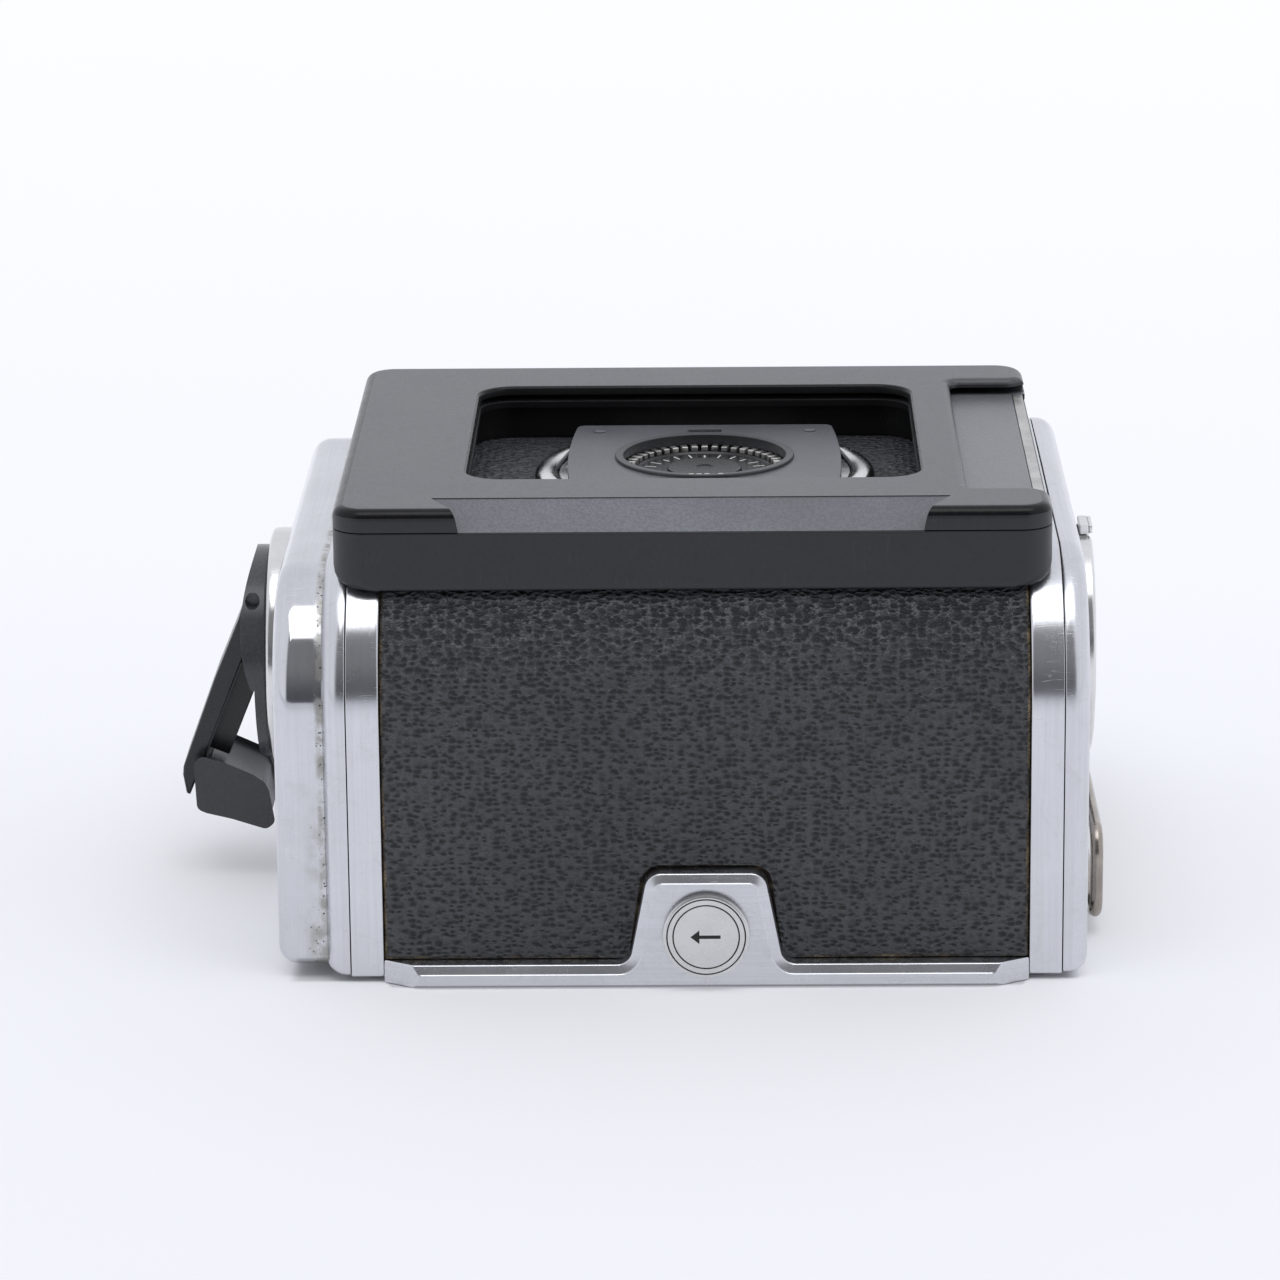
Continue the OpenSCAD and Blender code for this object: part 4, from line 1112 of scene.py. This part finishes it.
def holder_cover():
    """Upper half: worn rounded rim painted dark as painted shade, window with walls painted near black as
    painted shade, finger notch over the slide's slot with its floor painted lighter as painted light, and
    grained sloping facet; the top is painted lighter than the sides as painted light.
    """
    outer = corner_loop([(HX0, HY0, 3.5), (HX1, HY0, 3.5), (HX1, HY1, 3.5), (HX0, HY1, 3.5)], 10)
    rows = [(50.42, 0.14), (50.48, 0.03), (50.56, 0.0), (51.7, 0.0), (52.1, 0.06), (52.45, 0.22),
            (52.72, 0.48), (52.9, 0.8), (52.98, 1.15), (53.0, 1.6)]
    o = layers("cover", [(z, offset(outer, i)) for z, i in rows], "holder_top", 40)
    for key in ("facet", "holder_side", "holder_edge", "pocket", "holder_inner"):
        o.data.materials.append(M[key])
    facet, side, edge, pocket, inner = range(1, 6)
    hole = layers("c", [(z, rounded(WX0 - g, WX1 + g, WY0 - g, WY1 + g, 4 + g, 10)) for z, g in
                        ((49, 0.0), (52.2, 0.0), (52.6, 0.06), (52.85, 0.2), (53.0, 0.42), (53.4, 1.0))])

    def notch(g):
        return corner_loop([(NX - g, NY0 - g, 1.2 + g), (36.6, NY0 - g, 2.0), (39.2, NY0 - 2.6 - g, 0),
                (60, NY0 - 2.6 - g, 0), (60, NY1 + 2.0 + g, 0), (39.2, NY1 + 2.0 + g, 0), (36.8, NY1 + g, 2.0),
                (NX - g, NY1 + g, 1.2 + g)])

    dip = layers("c", [(z, notch(g)) for z, g in
                       ((FLOOR, 0.0), (51.9, 0.0), (52.35, 0.06), (52.65, 0.22), (52.85, 0.48), (52.96, 0.8),
                       (53.0, 1.15), (53.4, 2.0))])
    slot_ = box("c", -36.5, 60, -33.4, 27.4, FLOOR + 0.03, 52.0)
    rebate = box("c", 37.0, 60, NY0 - 0.02, NY1 + 0.02, 50.0, 53.5)
    a, b = [(-30.3, -33.0), (27.4, -33.0)], [(-25.18, -41.96), (22.36, -41.96)]
    top = [(-30.9, -33.0), (28.0, -33.0), (23.78, -41.96), (-26.6, -41.96)]
    wedge = from_lists("c", [(x, y, facet_z(y)) for x, y in a + b[::-1]] + [(x, y, 56) for x, y in top],
                       HEXAHEDRON)
    cut(o, hole, wedge, dip, slot_, rebate, smooth=40)
    for p in o.data.polygons:
        c, nv = p.center / MM, p.normal
        if c.y < -33.0 and nv.z > 0.8 and abs(c.z - facet_z(c.y)) < 0.02:
            p.material_index = facet
        elif nv.z > 0.9 and abs(c.z - FLOOR) < 0.01:
            p.material_index = pocket
        elif abs(nv.z) < 0.3 or nv.z < 0:
            p.material_index = inner if abs(c.x) < 29 and -30 < c.y < 26 else side
        elif nv.z < 0.985 and c.z > 51.9 and not (NX - 2 < c.x < HX1 - 0.3 and NY0 - 3 < c.y < NY1 + 3):
            p.material_index = edge
    return o


done(holder_cover(), "holder_black", "holder_cover")
done(box("holder_spring_detail", 37.07, 38.28, NY0 + 0.07, NY1 - 0.07, 50.45, FLOOR + 0.04, "steel", 0.1),
        "steel", "holder_spring")


# ---- dial under the window
DY = 1.5  # the dial's centre


def tab_frame():
    prof = [(46.5, 20.0), (46.9, 20.05), (47.15, 19.95), (47.45, 19.72), (47.75, 19.35), (47.95, 18.8),
            (47.99, 18.3), (47.9, 17.8), (47.6, 17.3), (47.3, 17.0), (47.25, 10.15), (46.9, 10.12),
            (46.9, 0.0)]
    o = revolve("f", "Z", (0, DY, 0), prof, "ring", 160, 40)
    seat = layers("s", [(z, rounded(-13.5, 13.5, DY - 14.5, DY + 14.2, 2, 8)) for z in (47.2, 47.99)], "black")
    cut(seat, rod("Z", (0, DY, 0), 47, 49, 10.15, 96))
    return join("tab_frame_detail", [o, seat])


done(tab_frame(), "satin_chrome", "tab_frame")


def tab_plate():
    pts = []
    for s in (1, -1):
        for i in range(17):
            y = -14.3 + 31.6 * i / 16 if s == 1 else 17.3 - 31.6 * i / 16
            pts.append((s * (sqrt(147 ** 2 - (y - 1.5) ** 2) - 131), y, 1.5 if i in (0, 16) else 0.0))
    o = prism("p", [corner_loop(pts, 5), ring_loop(0, DY, 9.6, 96),
            rounded(-2, 2, DY + 12.2, DY + 13.6, 0.15, 3)], 48.02, 49.0, "XY", 0.14, "tab_plate", 2)
    rim = revolve("r", "Z", (0, DY, 0), [(48.3, 9.5), (49.3, 9.5), (49.38, 9.58), (49.4, 9.72), (49.4, 10.2),
            (49.34, 10.4), (49.16, 10.5), (48.9, 10.5), (48.3, 9.62)], "rim", 128, 40, True)
    # a black block under the slot, put there as painted shade in it
    slot_shade_block = box("b", -2.6, 2.6, DY + 11.7, DY + 14.0, 47.8, 48.3, "ink")
    marks = [box("m", x - 0.28, x + 0.28, DY - 10.0, DY - 9.72, 49.38, 49.42, "white")
            for x in (-1.5, -0.6, 0.3, 1.9)]
    return join("tab_plate_detail", [o, rim, slot_shade_block, *marks])


done(tab_plate(), "dial_black", "tab_plate")
done(join("tab_rivet_set", [revolve("v", "Z", (x, y, 0),
        [(48.95, 0.78), (49.12, 0.76), (49.2, 0.62), (49.24, 0.3), (49.25, 0.0)], "tab_plate", 24)
                            for x in (-12.5, 12.5) for y in (-11, 14)]), "steel", "tab_rivets")


def speed_dial():
    c = (0, DY, 0)
    disc = revolve("d", "Z", c, [(46.95, 9.9), (47.5, 9.9), (47.6, 9.8), (47.6, 8.9), (47.62, 8.0),
            (47.4, 7.8), (47.4, 0.0)], "dial", 128)
    teeth = [box("t", 8.15, 9.35, -0.38, 0.38, 47.58, 48.2, "steel", 0.1) for _ in range(44)]
    ticks = [box("k", 5.9, 7.3 if i % 3 else 6.9, -0.1, 0.1, 47.39, 47.42, "white") for i in range(24)]
    for bars in (teeth, ticks):
        for i, t in enumerate(bars):
            spin = Matrix.Rotation(2 * PI * i / len(bars), 4, "Z")
            t.data.transform(Matrix.Translation((0, DY * MM, 0)) @ spin)
    knob = revolve("k", "Z", c, [(47.38, 4.4), (47.75, 4.3), (47.85, 4.1), (47.85, 1.0), (47.7, 0.9),
            (47.7, 0.0)], "dial", 64)
    return join("speed_dial_detail", [disc, *teeth, *ticks, knob])


done(speed_dial(), "dial_black", "speed_dial", body="speed_dial")

# ---- inner parts keep their CAD shape
INNER = {
    "brass": "crank_bush crank_gear takeup_idler takeup_gear feed_idler_a feed_idler_b drive_gear",
    "steel": "catch_spring catch_bar insert_spacers supply_pivots takeup_pivot pressure_springs lock_cam "
             "lock_bolt_near lock_bolt_far roller_near roller_far",
    "black": "insert_drive_cheek insert_key_cheek insert_bridge insert_web pressure_plate",
    "velvet": "light_trap", "steel_z": "slide_blade", "spool": "takeup_spool", "red": "signal_flag",
}
for key, nodes in INNER.items():
    for node in nodes.split():
        me = frame["nodes"][node].data
        me.materials.clear()
        me.materials.append(M[key])
        for p in me.polygons:
            p.material_index = 0
        shade(me, 28)


# ---- floor and light
def stage():
    n = Net("floor_white_painted_glow", Roughness=0.85, Specular_IOR_Level=0.1)
    x, y, _ = n.xyz()
    n.set("Base Color", n.mix(n.noise(2.0, 2), (0.675, 0.68, 0.70, 1), (0.69, 0.695, 0.715, 1)))
    # painted light: it glows with part of its own light, brighter towards the back and darker in front, but
    # not under the part at rest, which leaves a painted contact shadow there
    n.set("Emission Color", (0.945, 0.955, 1.0, 1))
    painted_glow = n.plus(n.span(y, -0.15, 0.65, 0.235, 0.38, "LINEAR"), n.span(y, -0.42, -0.155, -0.20, 0.0))
    front = n.span(n.m("ABSOLUTE", x), 0.0350, 0.0362, -0.0460, -0.0438)
    inside = n.times(n.span(n.minus(y, front), 0.0, 0.0008), n.span(y, 0.0410, 0.0432, 1.0, 0.0))
    under = n.times(inside, n.times(n.span(x, -0.0470, -0.0455), n.span(x, 0.0402, 0.0420, 1.0, 0.0)))
    n.set("Emission Strength", n.times(painted_glow, n.minus(1.0, n.times(under, 0.9))))
    me = bpy.data.meshes.new("floor")
    size, low = 4.0, -0.0001
    corners = [(-size, -size, low), (size, -size, low), (size, size, low), (-size, size, low)]
    me.from_pydata(corners, [], [(0, 1, 2, 3)])
    me.materials.append(n.mat)
    add_object("floor", me)


def area(name, loc, target, size, size_y, radiance, colour):
    li = bpy.data.lights.new(name, "AREA")
    li.color, li.shape, li.size, li.size_y = colour, "RECTANGLE", size, size_y
    li.energy = radiance * PI * size * size_y
    o = add_object(name, li)
    o.location = loc
    o.rotation_mode = "QUATERNION"
    o.rotation_quaternion = (Vector(target) - Vector(loc)).to_track_quat("-Z", "Y")


def world():
    """White paper all round, and a darker room in the sector behind the camera, darkest near the horizon."""
    w = bpy.data.worlds.new("studio")
    scene.world = w
    w.use_nodes = True
    n = Tree(w.node_tree)
    x, y, z = n.xyz(n.new("ShaderNodeTexCoord").outputs["Generated"])
    flat = n.m("SQRT", n.plus(n.times(x, x), n.times(y, y)))
    facing = n.m("DIVIDE", n.times(y, -1.0), n.most(flat, 0.001))
    dark = n.times(n.span(facing, 0.72, 0.88), n.span(z, 0.86, 0.93, 1.0, 0.0))
    room = n.mix(n.span(z, 0.05, 0.55), (0.10, 0.105, 0.115, 1), (0.24, 0.24, 0.25, 1))
    paper = n.mix(dark, (0.86, 0.875, 0.92, 1), room)
    n.put(n.new("ShaderNodeOutputWorld").inputs[0], n.call("ShaderNodeBackground", {0: paper}))


stage()
world()
area("overhead", (0.15, -0.48, 1.8), (0.1, -0.3, 0.0), 1.7, 1.05, 1.75, (0.99, 0.995, 1.0))
scene.view_settings.view_transform = "Standard"
scene.view_settings.look = "None"
